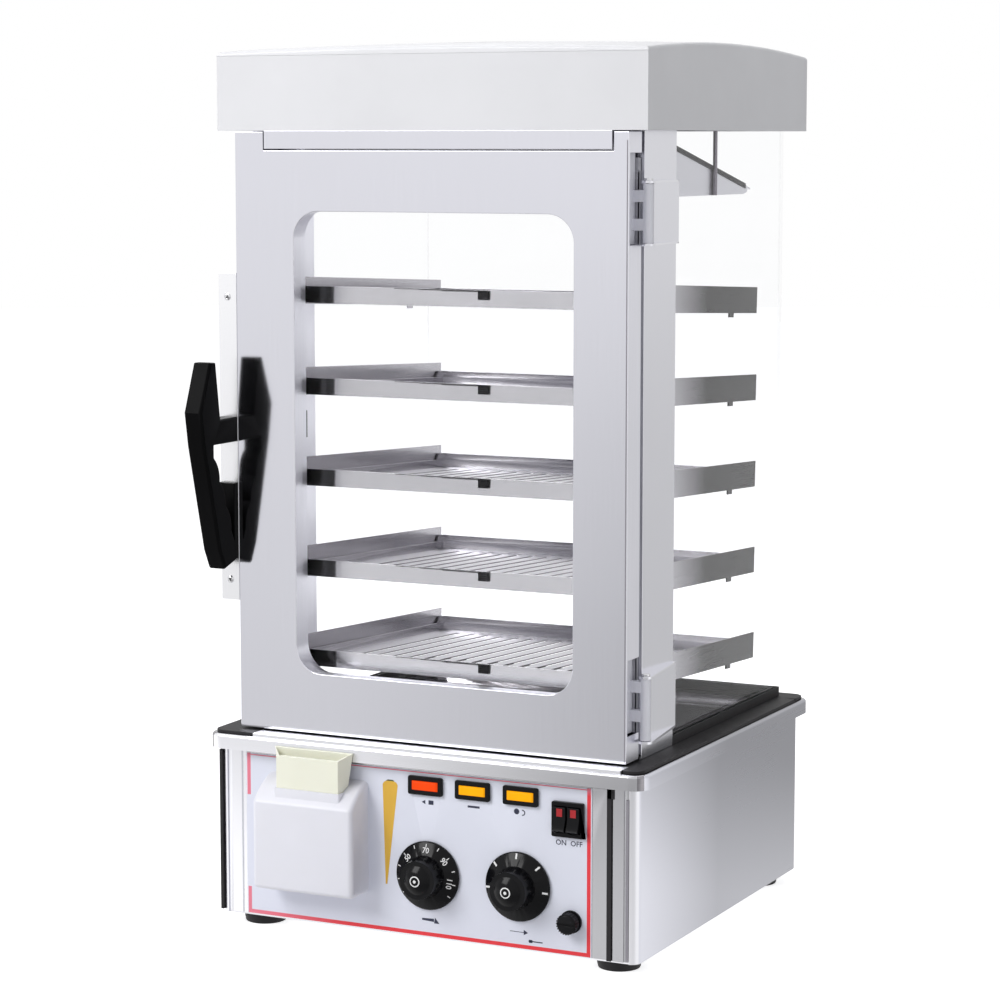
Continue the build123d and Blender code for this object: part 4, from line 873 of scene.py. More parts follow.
@dataclass
class Blocks:
    """Blocks with rounded edges joined into one piece, from their low and high corners in millimetres."""

    name: str
    slot: Slot
    boxes: Boxes
    rounding: float
    body: str = STEAMER
    finish: Finish | None = None

    def build(self) -> bpy.types.Object:
        """Builds the blocks."""
        work = bmesh.new()
        for low, high in self.boxes:
            size = [(b - a) * MM for a, b in zip(low, high)]
            middle = [(a + b) / 2 * MM for a, b in zip(low, high)]
            place = Matrix.Translation(middle) @ Matrix.Diagonal((*size, 1.0))
            bmesh.ops.create_cube(work, size=1.0, matrix=place)
        bmesh.ops.bevel(work, geom=list(work.edges), offset=self.rounding * MM, segments=2, affect="EDGES",
                        profile=0.5)
        return new_piece(self.name, plain_mesh(work, self.name), self.body, self.slot, self.finish)


@dataclass
class Prism:
    """A prism along X with its outline in the YZ plane, in millimetres."""

    name: str
    slot: Slot
    outline: Outline
    left: float
    right: float
    body: str = STEAMER

    def build(self) -> bpy.types.Object:
        """Builds the prism."""
        work = bmesh.new()
        face = work.faces.new([work.verts.new((self.left * MM, y * MM, z * MM)) for y, z in self.outline])
        grown = bmesh.ops.extrude_face_region(work, geom=[face])["geom"]
        moved = [item for item in grown if isinstance(item, bmesh.types.BMVert)]
        bmesh.ops.translate(work, verts=moved, vec=((self.right - self.left) * MM, 0.0, 0.0))
        bmesh.ops.recalc_face_normals(work, faces=work.faces)
        return new_piece(self.name, plain_mesh(work, self.name), self.body, self.slot)


# Geometry nodes


@dataclass
class NodeTool:
    """A geometry node tree with named inputs, run on a mesh and turned into a plain one."""

    tree: NodeTree

    def run(self, name: str, base: Mesh | None = None, **inputs: Any) -> Mesh:
        """Runs the tree.

        Args:
            name: the name of the result.
            base: the mesh that goes in, where the tree uses one.
            **inputs: values by input name, with _ for a space.

        Returns:
            The plain mesh.
        """
        holder = put("work", bpy.data.meshes.new("points") if base is None else base)
        modifier = holder.modifiers.new("tool", "NODES")
        modifier.node_group = self.tree
        sockets = self.tree.interface.items_tree
        known = {socket.name: socket.identifier for socket in sockets if socket.in_out == "INPUT"}
        for label, value in inputs.items():
            modifier[known[label.replace("_", " ")]] = value
        return evaluated(holder, name)


def new_tool(name: str, inputs: Mapping[str, str]) -> tuple[Wiring, Sequence[Socket]]:
    """Starts a tool's tree.

    Args:
        name: the tree's name.
        inputs: what kind of socket each input is, by its name.

    Returns:
        The tree's wiring and its inputs.
    """
    w = new_group(name, "Geometry", {"Geometry": "Geometry", **inputs, "Material": "Material"},
                  {"Geometry": "Geometry"})
    return w, w.add("NodeGroupInput").outputs


def finished_tool(w: Wiring, entry: Sequence[Socket], **instances: Socket) -> NodeTool:
    """Ends a tool's tree: copies on points, made real, in the tool's material.

    Args:
        w: the tree's wiring.
        entry: the tree's inputs.
        **instances: the points, what stands on each, and its turn.

    Returns:
        The tool.
    """
    placed = w.out("GeometryNodeInstanceOnPoints", instances)
    real = w.out("GeometryNodeRealizeInstances", {0: placed})
    done = w.out("GeometryNodeSetMaterial", {"Geometry": real, "Material": entry["Material"]})
    w.add("NodeGroupOutput", {0: done})
    return NodeTool(w.tree)


def cut_ball(w: Wiring, size: Socket, segments: int, cut: Sequence[int]) -> Socket:
    """A flattened ball whose low side is pressed flat along some axes.

    Args:
        w: the wiring of the tree.
        size: its radius along each axis.
        segments: how many segments go round it.
        cut: the axes along which nothing lies below zero.

    Returns:
        The ball's geometry.
    """
    ball = w.out("GeometryNodeMeshUVSphere", {"Segments": segments, "Rings": segments // 2, "Radius": 1.0})
    dome = w.out("GeometryNodeTransform", {"Geometry": ball, "Scale": size})
    axes = enumerate(w.axes(w.out("GeometryNodeInputPosition")))
    place = w.vector(*(w.math("MAXIMUM", value, 0.0) if axis in cut else value for axis, value in axes))
    return w.out("GeometryNodeSetPosition", {"Geometry": dome, "Position": place})


def screw_tool() -> NodeTool:
    """Pan head screws: a dome with a cross recess on each point, turned to face away from its panel."""
    w, entry = new_tool("pan_head_screws", {"Head Radius": "Float", "Head Height": "Float", "Recess": "Float",
                                            "Seed": "Int"})
    radius, height = entry["Head Radius"], entry["Head Height"]
    head = cut_ball(w, w.vector(radius, radius, height), segments=24, cut=(Z,))
    arm, thin = (w.math("MULTIPLY", entry["Recess"], share) for share in (1.15, 0.30))
    cross = w.add("GeometryNodeMeshBoolean", operation="UNION")
    for across, along in ((arm, thin), (thin, arm)):
        w.feed(cross, {"Mesh 2": w.out("GeometryNodeMeshCube", {"Size": w.vector(across, along, height)})})
    rise = w.vector(0.0, 0.0, height)
    raised = w.out("GeometryNodeTransform", {"Geometry": cross.outputs[0], "Translation": rise})
    cut = w.out("GeometryNodeMeshBoolean", {"Mesh 1": head, "Mesh 2": raised}, operation="DIFFERENCE")
    facing = w.out("GeometryNodeInputNamedAttribute", {"Name": "facing"}, data_type="FLOAT_VECTOR")
    aligned = w.out("FunctionNodeAlignRotationToVector", {"Vector": facing}, axis="Z")
    half_turn = 3.1
    chance = {2: 0.0, 3: half_turn, "Seed": entry["Seed"]}
    angle = w.add("FunctionNodeRandomValue", chance, data_type="FLOAT").outputs[1]
    spin = w.out("FunctionNodeAxisAngleToRotation", {"Axis": (0.0, 0.0, 1.0), "Angle": angle})
    turned = w.out("FunctionNodeRotateRotation", {0: aligned, 1: spin}, rotation_space="LOCAL")
    return finished_tool(w, entry, Points=entry["Geometry"], Instance=cut, Rotation=turned)


def ring_tool() -> NodeTool:
    """Bars set round a dial: ticks of a scale, or the ribs of a grip."""
    w, entry = new_tool("bars_round_a_dial", {"Count": "Int", "Radius": "Float", "Start": "Float",
                                              "Sweep": "Float", "Lean": "Float", "Size": "Vector",
                                              "Centre": "Vector"})
    row = w.out("GeometryNodeMeshLine", {"Count": entry["Count"], "Offset": (0.0, 0.0, 0.0)})
    gaps = w.math("MAXIMUM", w.math("SUBTRACT", entry["Count"], 1.0), 1.0)
    number = w.out("GeometryNodeInputIndex")
    turns = w.math("MULTIPLY", number, w.math("DIVIDE", entry["Sweep"], gaps))
    angle = w.math("ADD", entry["Start"], turns)
    east, up = (w.math("MULTIPLY", w.math(wave, angle), entry["Radius"]) for wave in ("SINE", "COSINE"))
    place = w.vector_math("ADD", w.vector(east, 0.0, up), entry["Centre"])[0]
    points = w.out("GeometryNodeSetPosition", {"Geometry": row, "Position": place})
    bar = w.out("GeometryNodeMeshCube", {"Size": entry["Size"]})
    turn = w.out("FunctionNodeAxisAngleToRotation", {"Axis": (0.0, 1.0, 0.0), "Angle": angle})
    lean = w.out("FunctionNodeAxisAngleToRotation", {"Axis": (1.0, 0.0, 0.0), "Angle": entry["Lean"]})
    both = w.out("FunctionNodeRotateRotation", {0: turn, 1: lean}, rotation_space="LOCAL")
    return finished_tool(w, entry, Points=points, Instance=bar, Rotation=both)


def hood_tool() -> NodeTool:
    """Pressed louvre hoods in rows and columns on a panel that faces the back."""
    w, entry = new_tool("louvre_hoods", {"Columns": "Int", "Rows": "Int", "Step X": "Float",
                                         "Step Z": "Float", "Size": "Vector", "Centre": "Vector"})
    width, height = (w.math("MULTIPLY", w.math("SUBTRACT", entry[count], 1.0), entry[step])
                     for count, step in (("Columns", "Step X"), ("Rows", "Step Z")))
    grid = w.out("GeometryNodeMeshGrid", {"Size X": width, "Size Y": height, "Vertices X": entry["Columns"],
                                          "Vertices Y": entry["Rows"]})
    x, y, _ = w.axes(w.out("GeometryNodeInputPosition"))
    place = w.vector_math("ADD", w.vector(x, 0.0, y), entry["Centre"])[0]
    points = w.out("GeometryNodeSetPosition", {"Geometry": grid, "Position": place})
    hood = cut_ball(w, entry["Size"], segments=32, cut=(Y, Z))
    return finished_tool(w, entry, Points=points, Instance=hood)


SCREWS = screw_tool()
RINGS = ring_tool()
HOODS = hood_tool()


@dataclass
class Fasteners:
    """A set of screw heads seated on a surface of one body, in millimetres."""

    name: str
    body: str
    surface: Surface
    starts: Sequence[Point]
    along: Point
    radius: float
    height: float
    recess: float
    seed: int = 3
    sunk: float = 0.05
    smooth_angle: float = 35.0

    def build(self) -> bpy.types.Object:
        """Seats each head where its ray meets the surface."""
        seats = [self.surface.hit(start, self.along) for start in self.starts]
        base = bpy.data.meshes.new("points")
        base.from_pydata([place - normal * self.sunk * MM for place, normal in seats], [], [])
        facing = base.attributes.new("facing", "FLOAT_VECTOR", "POINT")
        facing.data.foreach_set("vector", [c for _, normal in seats for c in normal])
        mesh = SCREWS.run(self.name, base, Head_Radius=self.radius * MM, Head_Height=self.height * MM,
                          Recess=self.recess * MM, Seed=self.seed, Material=FINISHES[Slot.BRIGHT_CHROME])
        return new_piece(self.name, smoothed(mesh, self.smooth_angle), self.body, Slot.BRIGHT_CHROME)


# Printed marks, in millimetres


def rectangle(x: float, z: float, width: float, height: float, rows: int = 1) -> Outlines:
    """A rectangle in rows that can follow a curved skin.

    Args:
        x: its middle across.
        z: its middle's height.
        width: its width.
        height: its height.
        rows: the number of rows.

    Returns:
        The outline of each row.
    """
    left, right, step = x - width / 2, x + width / 2, height / rows
    lows = [z - height / 2 + step * row for row in range(rows)]
    return [[(left, low), (right, low), (right, low + step), (left, low + step)] for low in lows]


def ring_patches(x: float, z: float, inner: float, outer: float, start: float = 0.0, sweep: float = 360.0,
                 count: int = 32) -> Outlines:
    """A disc, a ring or an arc of one as flat patches.

    Args:
        x: the middle across.
        z: the middle's height.
        inner: the inner radius, 0 for a disc.
        outer: the outer radius.
        start: where an arc starts, in degrees counterclockwise from +X.
        sweep: how far it goes.
        count: the number of patches.

    Returns:
        The patches.
    """
    turns = [math.radians(start + sweep * i / count) for i in range(count + 1)]
    patches = []
    for a, b in zip(turns, turns[1:]):
        inward = [(inner, b), (inner, a)] if inner > 0 else [(0.0, a)]
        corners = [(outer, a), (outer, b), *inward]
        patches.append([(x + r * math.cos(t), z + r * math.sin(t)) for r, t in corners])
    return patches


def characters(text: str, x: float, z: float, height: float, turn: float = 0.0) -> Outlines:
    """Plain figures or letters as patches about a point.

    Args:
        text: what they say.
        x: the middle across.
        z: the middle's height.
        height: the figures' height.
        turn: degrees clockwise.

    Returns:
        The patches of all characters.
    """
    size_of_height = 1.38
    boldness = 0.02
    curve = bpy.data.curves.new("characters", "FONT")
    curve.body = text
    curve.size = height * size_of_height
    curve.align_x = "CENTER"
    curve.align_y = "CENTER"
    curve.resolution_u = 3
    curve.offset = boldness * height
    mesh = evaluated(put("characters", curve), "characters")
    c, s = math.cos(math.radians(turn)), math.sin(math.radians(turn))
    corners = [(x + v.co.x * c + v.co.y * s, z - v.co.x * s + v.co.y * c) for v in mesh.vertices]
    return [[corners[i] for i in face.vertices] for face in mesh.polygons]


@dataclass
class Print:
    """Marks of one ink, laid on the skin behind them and lifted off it by the ink."""

    name: str
    ink: Ink
    body: str
    surface: Surface
    patches: Outlines
    lift: float = 0.06

    def seat(self, x: float, z: float) -> Vector:
        """The point of a mark at (x, z)."""
        place, normal = self.surface.hit((x, -OUTSIDE, z), (0, 1, 0))
        return place + normal * self.lift * MM

    def build(self) -> bpy.types.Object:
        """Lays the marks as one piece."""
        work = bmesh.new()
        for patch in self.patches:
            work.faces.new([work.verts.new(self.seat(x, z)) for x, z in patch])
        return new_piece(self.name, plain_mesh(work, self.name), self.body, self.ink.slot, self.ink)


# Sub-assemblies, in millimetres


@dataclass
class BaseHousing:
    """Base with its side panels, front frame, feet, tank and rear fittings."""

    edges: Edges = (("feet", 0.8), ("fascia", 0.12), ("cabinet_seals", 0.4), ("heating_element", 0.0),
                    ("level_probe", 0.3))
    side_edge: float = 0.5
    front: FinishedEdges = (("base_front_frame", 0.25, Look.FRAME_STEEL),
                            ("front_panel", 0.25, Look.FRAME_STEEL))
    pierced_edge: float = 0.2
    rim_side: float = 190.5
    rim_front: float = 178.0
    joint_strip: Boxes = (((159.5, -173.3, 11.0), (163.4, -172.0, 146.4)),
                          ((159.5, -173.3, 137.6), (165.6, -172.0, 146.4)))
    # A black strip on the left front corner: painted dark reflection in the corner's rounding
    left_corner_reflection: Boxes = (((-185.3, -172.8, 12.0), (-182.4, -169.0, 144.5)),)
    right_seam: Outlines = tuple(rectangle(176.2, 75.0, 2.8, 126.0, rows=4))
    seam_lift: float = 0.15
    screw_columns: Sequence[float] = (-150.0, -60.0, 60.0, 150.0)
    screw_rows: Sequence[float] = (20.0, 138.0)
    screw_size: Point = (3.6, 1.6, 3.8)
    hood_grid: tuple[int, int] = (3, 6)
    hood_step: tuple[float, float] = (84.0, 8.0)
    hood_size: Point = (33.0, 2.8, 4.4)
    hood_centre: Point = (0.0, 171.2, 66.4)
    hood_angle: float = 40.0

    def build(self) -> None:
        """Builds the housing's shells, joints, the painted reflection of the left corner, screws and hoods."""
        for side in ("left", "right"):
            Shell(f"base_side_{side}", self.side_edge, others=[(Look.SIDE_STEEL, on_axis(X))]).build()
        Shell("water_tank", 0.0, others=[(Look.SIDE_STEEL, beyond(X, self.rim_side)),
                                         (Look.RIM_STEEL, beyond(Y, self.rim_front))]).build()
        finished_shells(self.front)
        for node in ("base_rear_panel", "base_plate"):
            Shell(node, self.pierced_edge, pierced=True).build()
        plain_shells(self.edges)
        self.rear_screws()
        self.corner_joints_and_reflection()
        self.hoods()

    def corner_joints_and_reflection(self) -> None:
        """Black joint strip beside the right column, a black strip on the left front corner that paints the
        dark reflection in its rounding, and the seam of the right front corner.
        """
        Blocks("joint_strip", Slot.BLACK_RUBBER, self.joint_strip, rounding=0.2).build()
        Blocks("corner_dark_reflection_left", Slot.BLACK_RUBBER, self.left_corner_reflection, rounding=0.3).build()
        Print("corner_seam_right", Ink.SEAM, STEAMER, Surface("base_side_right", "base_front_frame"),
              self.right_seam, self.seam_lift).build()

    def rear_screws(self) -> None:
        """Screws along the edges of the rear panel."""
        spots = [(x, OUTSIDE, z) for x in self.screw_columns for z in self.screw_rows]
        Fasteners("rear_panel_screws", STEAMER, Surface("base_rear_panel"), spots, (0, -1, 0),
                  *self.screw_size).build()

    def hoods(self) -> None:
        """Louvre hoods over the slots of the rear panel."""
        columns, rows = self.hood_grid
        across, up = self.hood_step
        hoods = HOODS.run("louvre_hoods", Columns=columns, Rows=rows, Step_X=across * MM, Step_Z=up * MM,
                          Size=metres(self.hood_size), Centre=metres(self.hood_centre),
                          Material=FINISHES[Slot.HOUSING_STEEL])
        new_piece("louvre_hoods", smoothed(hoods, self.hood_angle), STEAMER, Slot.HOUSING_STEEL)


@dataclass(frozen=True)
class Dial:
    """The marks of one dial knob: pointer ring, ticks and figures.

    The ticks' angles are radians clockwise from the top, the figures' turns degrees. The skirt's slope is
    given by its rise and its run.
    """

    name: str
    x: float
    ticks: int
    start: float
    sweep: float
    tick: Point
    figures: Sequence[str] = ()
    z: float = 61.3
    pointer_ring: tuple[float, float] = (3.4, 4.3)
    pointer_dot: float = 1.3
    figure_radius: float = 20.7
    figure_height: float = 4.3
    first_turn: float = -100.0
    turn_step: float = 50.0
    tick_radius: float = 24.6
    rim_radius: float = 27.5
    rim_y: float = -176.5
    skirt: tuple[float, float] = (3.0, 10.5)

    def build(self) -> None:
        """Lays the figures and sets the ticks on the knob's sloping skirt."""
        patches = [*ring_patches(self.x, self.z, *self.pointer_ring),
                   *ring_patches(self.x, self.z, 0.0, self.pointer_dot, count=16)]
        for i, figure in enumerate(self.figures):
            turn = self.first_turn + self.turn_step * i
            across, up = (self.figure_radius * wave(math.radians(turn)) for wave in (math.sin, math.cos))
            patches += characters(figure, self.x + across, self.z + up, self.figure_height, turn)
        body = f"{self.name}_knob"
        knob = Surface(f"knob_{self.name}")
        Print(f"{self.name}_dial_figures", Ink.WHITE, body, knob, patches, lift=0.09).build()
        slope = math.atan2(*self.skirt)
        y = self.rim_y - (self.rim_radius - self.tick_radius) * math.tan(slope)
        ticks = RINGS.run(f"{self.name}_dial_ticks", Count=self.ticks, Radius=self.tick_radius * MM,
                          Start=self.start, Sweep=self.sweep, Lean=-slope, Size=metres(self.tick),
                          Centre=metres((self.x, y, self.z)), Material=FINISHES[Ink.WHITE])
        new_piece(f"{self.name}_dial_ticks", ticks, body, Slot.GLOSS_BLACK, Ink.WHITE)


@dataclass
class Controls:
    """Lamps, switch, dial knobs, fuse and the prints of the fascia."""

    edges: Edges = (("knob_thermostat", 0.25), ("knob_regulator", 0.25), ("lamp_bezels", 0.4),
                    ("lamp_lens_red", 0.3), ("lamp_lenses_amber", 0.3), ("switch_housing", 0.4),
                    ("rocker_left", 0.3), ("rocker_right", 0.3), ("fuse_holder", 0.3), ("fuse_cap", 0.35))
    dials: Sequence[Dial] = (
        Dial("thermostat", 6.4, 11, -2.2, 4.4, (0.7, 0.16, 2.6), ("30", "50", "70", "90", "110")),
        Dial("regulator", 85.0, 5, -1.66, 3.32, (1.5, 0.16, 4.4)))
    red_lamp_sign: Outlines = (((0.4, 119.6), (3.6, 117.9), (3.6, 121.3)), *rectangle(8.6, 119.6, 4.4, 3.4))
    amber_lamp_signs: Outlines = (*rectangle(46.0, 119.9, 10.4, 1.7), *ring_patches(83.2, 120.2, 0.0, 2.3),
                                  *ring_patches(88.2, 119.6, 1.5, 2.4, -100.0, 200.0, 12))
    left_dial_arrow: Outlines = (((0.4, 24.6), (11.0, 24.0), (11.0, 26.6), (0.4, 26.2)),
                                 ((11.0, 22.9), (15.8, 22.9), (11.9, 27.6)))
    right_dial_arrow: Outlines = (*rectangle(83.5, 25.0, 12.0, 0.5),
                                  ((89.4, 22.9), (93.2, 25.0), (89.4, 27.1)))
    corner_sign: Outlines = (*rectangle(99.6, 18.6, 12.0, 0.9), *rectangle(95.4, 18.6, 3.0, 2.4))
    switch_words: Sequence[tuple[str, float]] = (("ON", 121.2), ("OFF", 134.2))
    word_z: float = 99.6
    word_height: float = 4.2
    level_strip: Outlines = (
        ((-32.1, 50.0), (-30.6, 50.0), (-20.9, 130.4), (-34.4, 130.4)),
        ((-34.4, 130.4), (-20.9, 130.4), (-22.2, 132.6), (-24.6, 133.4), (-30.9, 133.4), (-33.2, 132.4)))
    level_strip_top: Outlines = (((-31.6, 133.4), (-23.6, 133.4), (-25.4, 134.5), (-29.8, 134.5)),)
    rockers: Sequence[tuple[str, float]] = (("left", 121.9), ("right", 133.5))
    field_z: float = 124.2
    field_size: tuple[float, float] = (4.8, 6.2)
    rib_count: int = 24
    rib_radius: float = 7.9
    rib_size: Point = (0.9, 6.6, 0.7)
    rib_centre: Point = (130.0, -180.2, 38.4)

    def build(self) -> None:
        """Builds the shells of the controls and their prints."""
        plain_shells(self.edges)
        self.panel_marks()
        self.rocker_fields()
        for dial in self.dials:
            dial.build()
        ribs = RINGS.run("fuse_cap_ribs", Count=self.rib_count, Radius=self.rib_radius * MM, Start=0.0,
                         Sweep=math.tau * (self.rib_count - 1) / self.rib_count, Lean=0.0,
                         Size=metres(self.rib_size), Centre=metres(self.rib_centre),
                         Material=FINISHES[Slot.BLACK_PLASTIC])
        new_piece("fuse_cap_ribs", ribs, "fuse_cap", Slot.BLACK_PLASTIC)

    def panel_marks(self) -> None:
        """Small plain signs under lamps, switch and dials, and the tapered strip beside the dials."""
        fascia = Surface("fascia")
        signs = [*self.red_lamp_sign, *self.amber_lamp_signs, *self.left_dial_arrow, *self.right_dial_arrow,
                 *self.corner_sign]
        for word, x in self.switch_words:
            signs += characters(word, x, self.word_z, self.word_height)
        Print("panel_signs", Ink.DARK, STEAMER, fascia, signs).build()
        Print("level_strip", Ink.YELLOW, STEAMER, fascia, self.level_strip).build()
        Print("level_strip_top", Ink.GREEN, STEAMER, fascia, self.level_strip_top).build()

    def rocker_fields(self) -> None:
        """The red field on the upper part of each rocker."""
        for side, x in self.rockers:
            Print(f"{side}_rocker_field", Ink.RED, f"{side}_rocker", Surface(f"rocker_{side}"),
                  rectangle(x, self.field_z, *self.field_size, rows=6), lift=0.08).build()


@dataclass
class FillingBox:
    """The white filling box, its cream funnel and its pipe."""

    box_edge: float = 1.0
    edges: Edges = (("fill_funnel", 0.5), ("fill_pipe", 0.3))

    def build(self) -> None:
        """Builds the shells."""
        Shell("fill_box", self.box_edge, steps=3).build()
        plain_shells(self.edges)


@dataclass
class RearFittings:
    """Drain valve, lever and cord gland."""

    edges: Edges = (("drain_valve", 0.4), ("drain_lever", 0.5), ("cord_gland", 0.4))

    def build(self) -> None:
        """Builds the fittings' shells."""
        plain_shells(self.edges)


@dataclass
class Cabinet:
    """Posts, panes, ceiling, cap, baffle and tray arms."""

    edges: Edges = (("post_right", 0.6), ("front_crossbars", 0.5), ("ceiling_pan", 0.3), ("cap", 0.5),
                    ("header_strip", 0.3), ("tray_arms_left", 0.25), ("catch_magnet", 0.3))
    posts: Sheets = (("post_left", 0.6, Look.FOLDED_EDGE, Y),)
    linings: FinishedEdges = (("tray_arms_right", 0.25, Look.ARM_STEEL), ("baffle", 0.3, Look.BAFFLE_STEEL))
    rods: FinishedEdges = (("baffle_rods", 0.2, Look.ROD_STEEL),)
    panes: Sheets = (("side_glass", 0.4, Look.GROUND_EDGE, X), ("rear_glass", 0.4, Look.GROUND_EDGE, Y))
    cheek_x: float = 145.6
    # The black strips along the baffle cheeks' top edges paint the shadow of the plate's edge
    edge_shadow_half_width: float = 1.1
    edge_shadow_ends: tuple[float, float] = (-110.0, 130.0)
    edge_shadow_levels: tuple[float, float] = (-3.2, 0.8)
    above_baffle: float = 660.0
    hinge_levels: Sequence[tuple[float, float]] = ((176.5, 229.0), (556.0, 605.0))
    seam_x: tuple[float, float] = (173.3, 173.8)
    seam_y: tuple[float, float] = (-124.6, -74.0)
    upright_seam: float = 1.7
    seam_inset: float = 0.5
    half_seam: float = 0.4
    rim_strip: Boxes = (((-150.0, -176.2, 161.5), (173.0, -163.5, 161.9)),
                        ((-150.0, -178.6, 159.0), (173.0, -176.2, 161.7)))

    def build(self) -> None:
        """Builds the cabinet's shells, the rim strip, the painted shadows along the baffle's edges and the
        hinge seams.
        """
        plain_shells(self.edges)
        sheet_shells(self.posts)
        finished_shells(self.linings)
        self.hinge_seams()
        finished_shells(self.rods)
        self.baffle_edge_shadow()
        Blocks("rim_strip", Slot.HOUSING_STEEL, self.rim_strip, rounding=0.15).build()
        sheet_shells(self.panes)

    def baffle_edge_shadow(self) -> None:
        """A black strip along the sloping top edge of each baffle cheek, as painted shadow of the plate's edge
        seen edge-on.
        """
        skin = Surface("baffle")
        low, high = self.edge_shadow_levels
        for side, x in (("left", -self.cheek_x), ("right", self.cheek_x)):
            front, back = (skin.hit((x, y, self.above_baffle), (0, 0, -1))[0] / MM for y in self.edge_shadow_ends)
            corners = ((front, high), (back, high), (back, low), (front, low))
            outline = [(end.y, end.z + level) for end, level in corners]
            Prism(f"baffle_edge_shadow_{side}", Slot.BLACK_RUBBER, outline, x - self.edge_shadow_half_width,
                  x + self.edge_shadow_half_width).build()

    def hinge_seams(self) -> None:
        """Dark gaps around the bent plates of the two cabinet hinges."""
        left, right = self.seam_x
        front, back = self.seam_y
        seams = []
        for low, high in self.hinge_levels:
            bottom, top = low + self.seam_inset, high - self.seam_inset
            seams.append(((left, front, bottom), (right, front + self.upright_seam, top)))
            seams += [((left, front, z - self.half_seam), (right, back, z + self.half_seam))
                      for z in (top, bottom)]
        Blocks("hinge_seams", Slot.BLACK_RUBBER, seams, rounding=0.05, finish=Ink.SEAM).build()


@dataclass
class Trays:
    """The five slotted trays, each with a black clip and painted shadow along the folded hem of its front
    flange, and gussets at the back.

    Hem shadows and clips are placed from the tray's front and top edge, gussets from its back and bottom.
    """

    count: int = 5
    edge: float = 0.2
    flange: float = 3.0
    inner_wall: float = 4.0
    # Black stretches along the flange's top edge, deeper to the right: painted shadow of the folded hem where
    # the edge dips
    hem_shadow: Sequence[Point] = ((-47.0, -25.0, 0.8), (-25.0, -5.0, 1.2), (-5.0, 28.0, 1.7))
    hem_shadow_y: tuple[float, float] = (0.5, 1.3)
    hem_shadow_top: float = 0.15
    clip: Boxes = (((27.7, -1.5, -7.6), (37.0, 2.4, -0.2)),
                   *(((28.8, -2.0, -drop), (35.9, -1.2, 0.9 - drop)) for drop in (6.8, 5.2, 3.6)))
    gusset: Outline = ((-0.1, 13.5), (-10.0, 14.0), (-15.0, 8.7), (-0.5, 7.9))
    gusset_width: float = 0.8
    gusset_inset: float = 0.1

    def build(self) -> None:
        """Builds each tray with its pieces."""
        for number in range(1, self.count + 1):
            node = f"tray_{number}"
            low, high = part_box(node)
            self.shell(node, low[Y], high[X])
            self.front(node, low[Y] / MM, high[Z] / MM)
            outline = [(high[Y] / MM + y, low[Z] / MM + z) for y, z in self.gusset]
            outer = high[X] / MM - self.gusset_inset
            for side, x in (("left", -outer), ("right", outer - self.gusset_width)):
                Prism(f"{node}_gusset_{side}", Slot.TRAY_STEEL, outline, x, x + self.gusset_width,
                      BODY_OF[node]).build()

    def shell(self, node: str, front: float, half: float) -> None:
        """Builds a tray's shell with its own finish on flange, floor and slot walls.

        Args:
            node: the tray's name.
            front: the y of its front edge in metres.
            half: half of its width in metres.
        """
        flange, wall = front + self.flange * MM, half - self.inner_wall * MM
        Shell(node, self.edge, pierced=True, others=[
            # The front flange's finish carries a painted dark reflection on its left end
            (Look.TRAY_FRONT, lambda face: face.normal.y < -FACING and face.center.y < flange),
            (Look.TRAY_FLOOR, on_axis(Z)),
            (Look.ROD_STEEL, lambda face: abs(face.normal.x) > FACING and abs(face.center.x) < wall)]).build()

    def front(self, node: str, front: float, top: float) -> None:
        """Builds the painted shadow along the folded hem and the clip on a tray's front flange.

        Args:
            node: the tray's name.
            front: the y of its front edge.
            top: the height of its top edge.
        """
        body = BODY_OF[node]
        near, far = (front + y for y in self.hem_shadow_y)
        hem_shadow = [((left, near, top - depth), (right, far, top - self.hem_shadow_top))
                for left, right, depth in self.hem_shadow]
        Blocks(f"{node}_slit", Slot.BLACK_RUBBER, hem_shadow, rounding=0.03, body=body, finish=Ink.SHADOW_LINE).build()
        clip = [[(x, front + y, top + z) for x, y, z in corners] for corners in self.clip]
        Blocks(f"{node}_clip", Slot.BLACK_PLASTIC, clip, rounding=0.3, body=body).build()


@dataclass
class Door:
    """Door pan, inner pan, window pane, gasket, handle and hinges."""

    edges: Edges = (("handle", 1.2), ("hinge_brackets", 0.3), ("hinge_pins", 0.3), ("catch_strike", 0.2))
    panes: Sheets = (("door_glass", 0.4, Look.GROUND_EDGE, Y),)
    fittings: FinishedEdges = (("door_hinges", 0.3, Look.HINGE_STEEL),
                               ("handle_plate", 0.3, Look.PLATE_STEEL), ("door_gasket", 0.6, Look.GREY_GASKET))
    pans: Sheets = (("door_pan", 0.5, Look.FOLDED_EDGE, Y), ("door_inner_pan", 0.4, Look.FOLDED_EDGE, Y))
    edge_seam: Outlines = tuple(rectangle(169.4, 400.0, 0.9, 470.0, rows=6))
    screw_x: float = -178.5
    screw_levels: tuple[float, float] = (283.0, 511.0)
    screw_size: Point = (3.2, 1.3, 3.4)

    def build(self) -> None:
        """Builds the door's shells, its seam and the screws of the handle plate."""
        plain_shells(self.edges)
        sheet_shells(self.panes)
        finished_shells(self.fittings)
        sheet_shells(self.pans)
        Print("door_edge_seam", Ink.SEAM, "door", Surface("door_pan"), self.edge_seam).build()
        spots = [(self.screw_x, -OUTSIDE, z) for z in self.screw_levels]
        Fasteners("handle_plate_screws", "door", Surface("handle_plate"), spots, (0, 1, 0), *self.screw_size,
                  seed=7).build()


# Studio


@dataclass(frozen=True)
class Lamp:
    """A soft square lamp that faces a point, its side in metres and its power in watts."""

    name: str
    place: Point
    aim: Point
    side: float
    power: float

    def build(self) -> None:
        """Hangs the lamp."""
        data = bpy.data.lights.new(self.name, "AREA")
        data.size = self.side
        data.energy = self.power
        lamp = put(self.name, data)
        lamp.location = self.place
        lamp.rotation_euler = (Vector(self.aim) - Vector(self.place)).to_track_quat("-Z", "Y").to_euler()


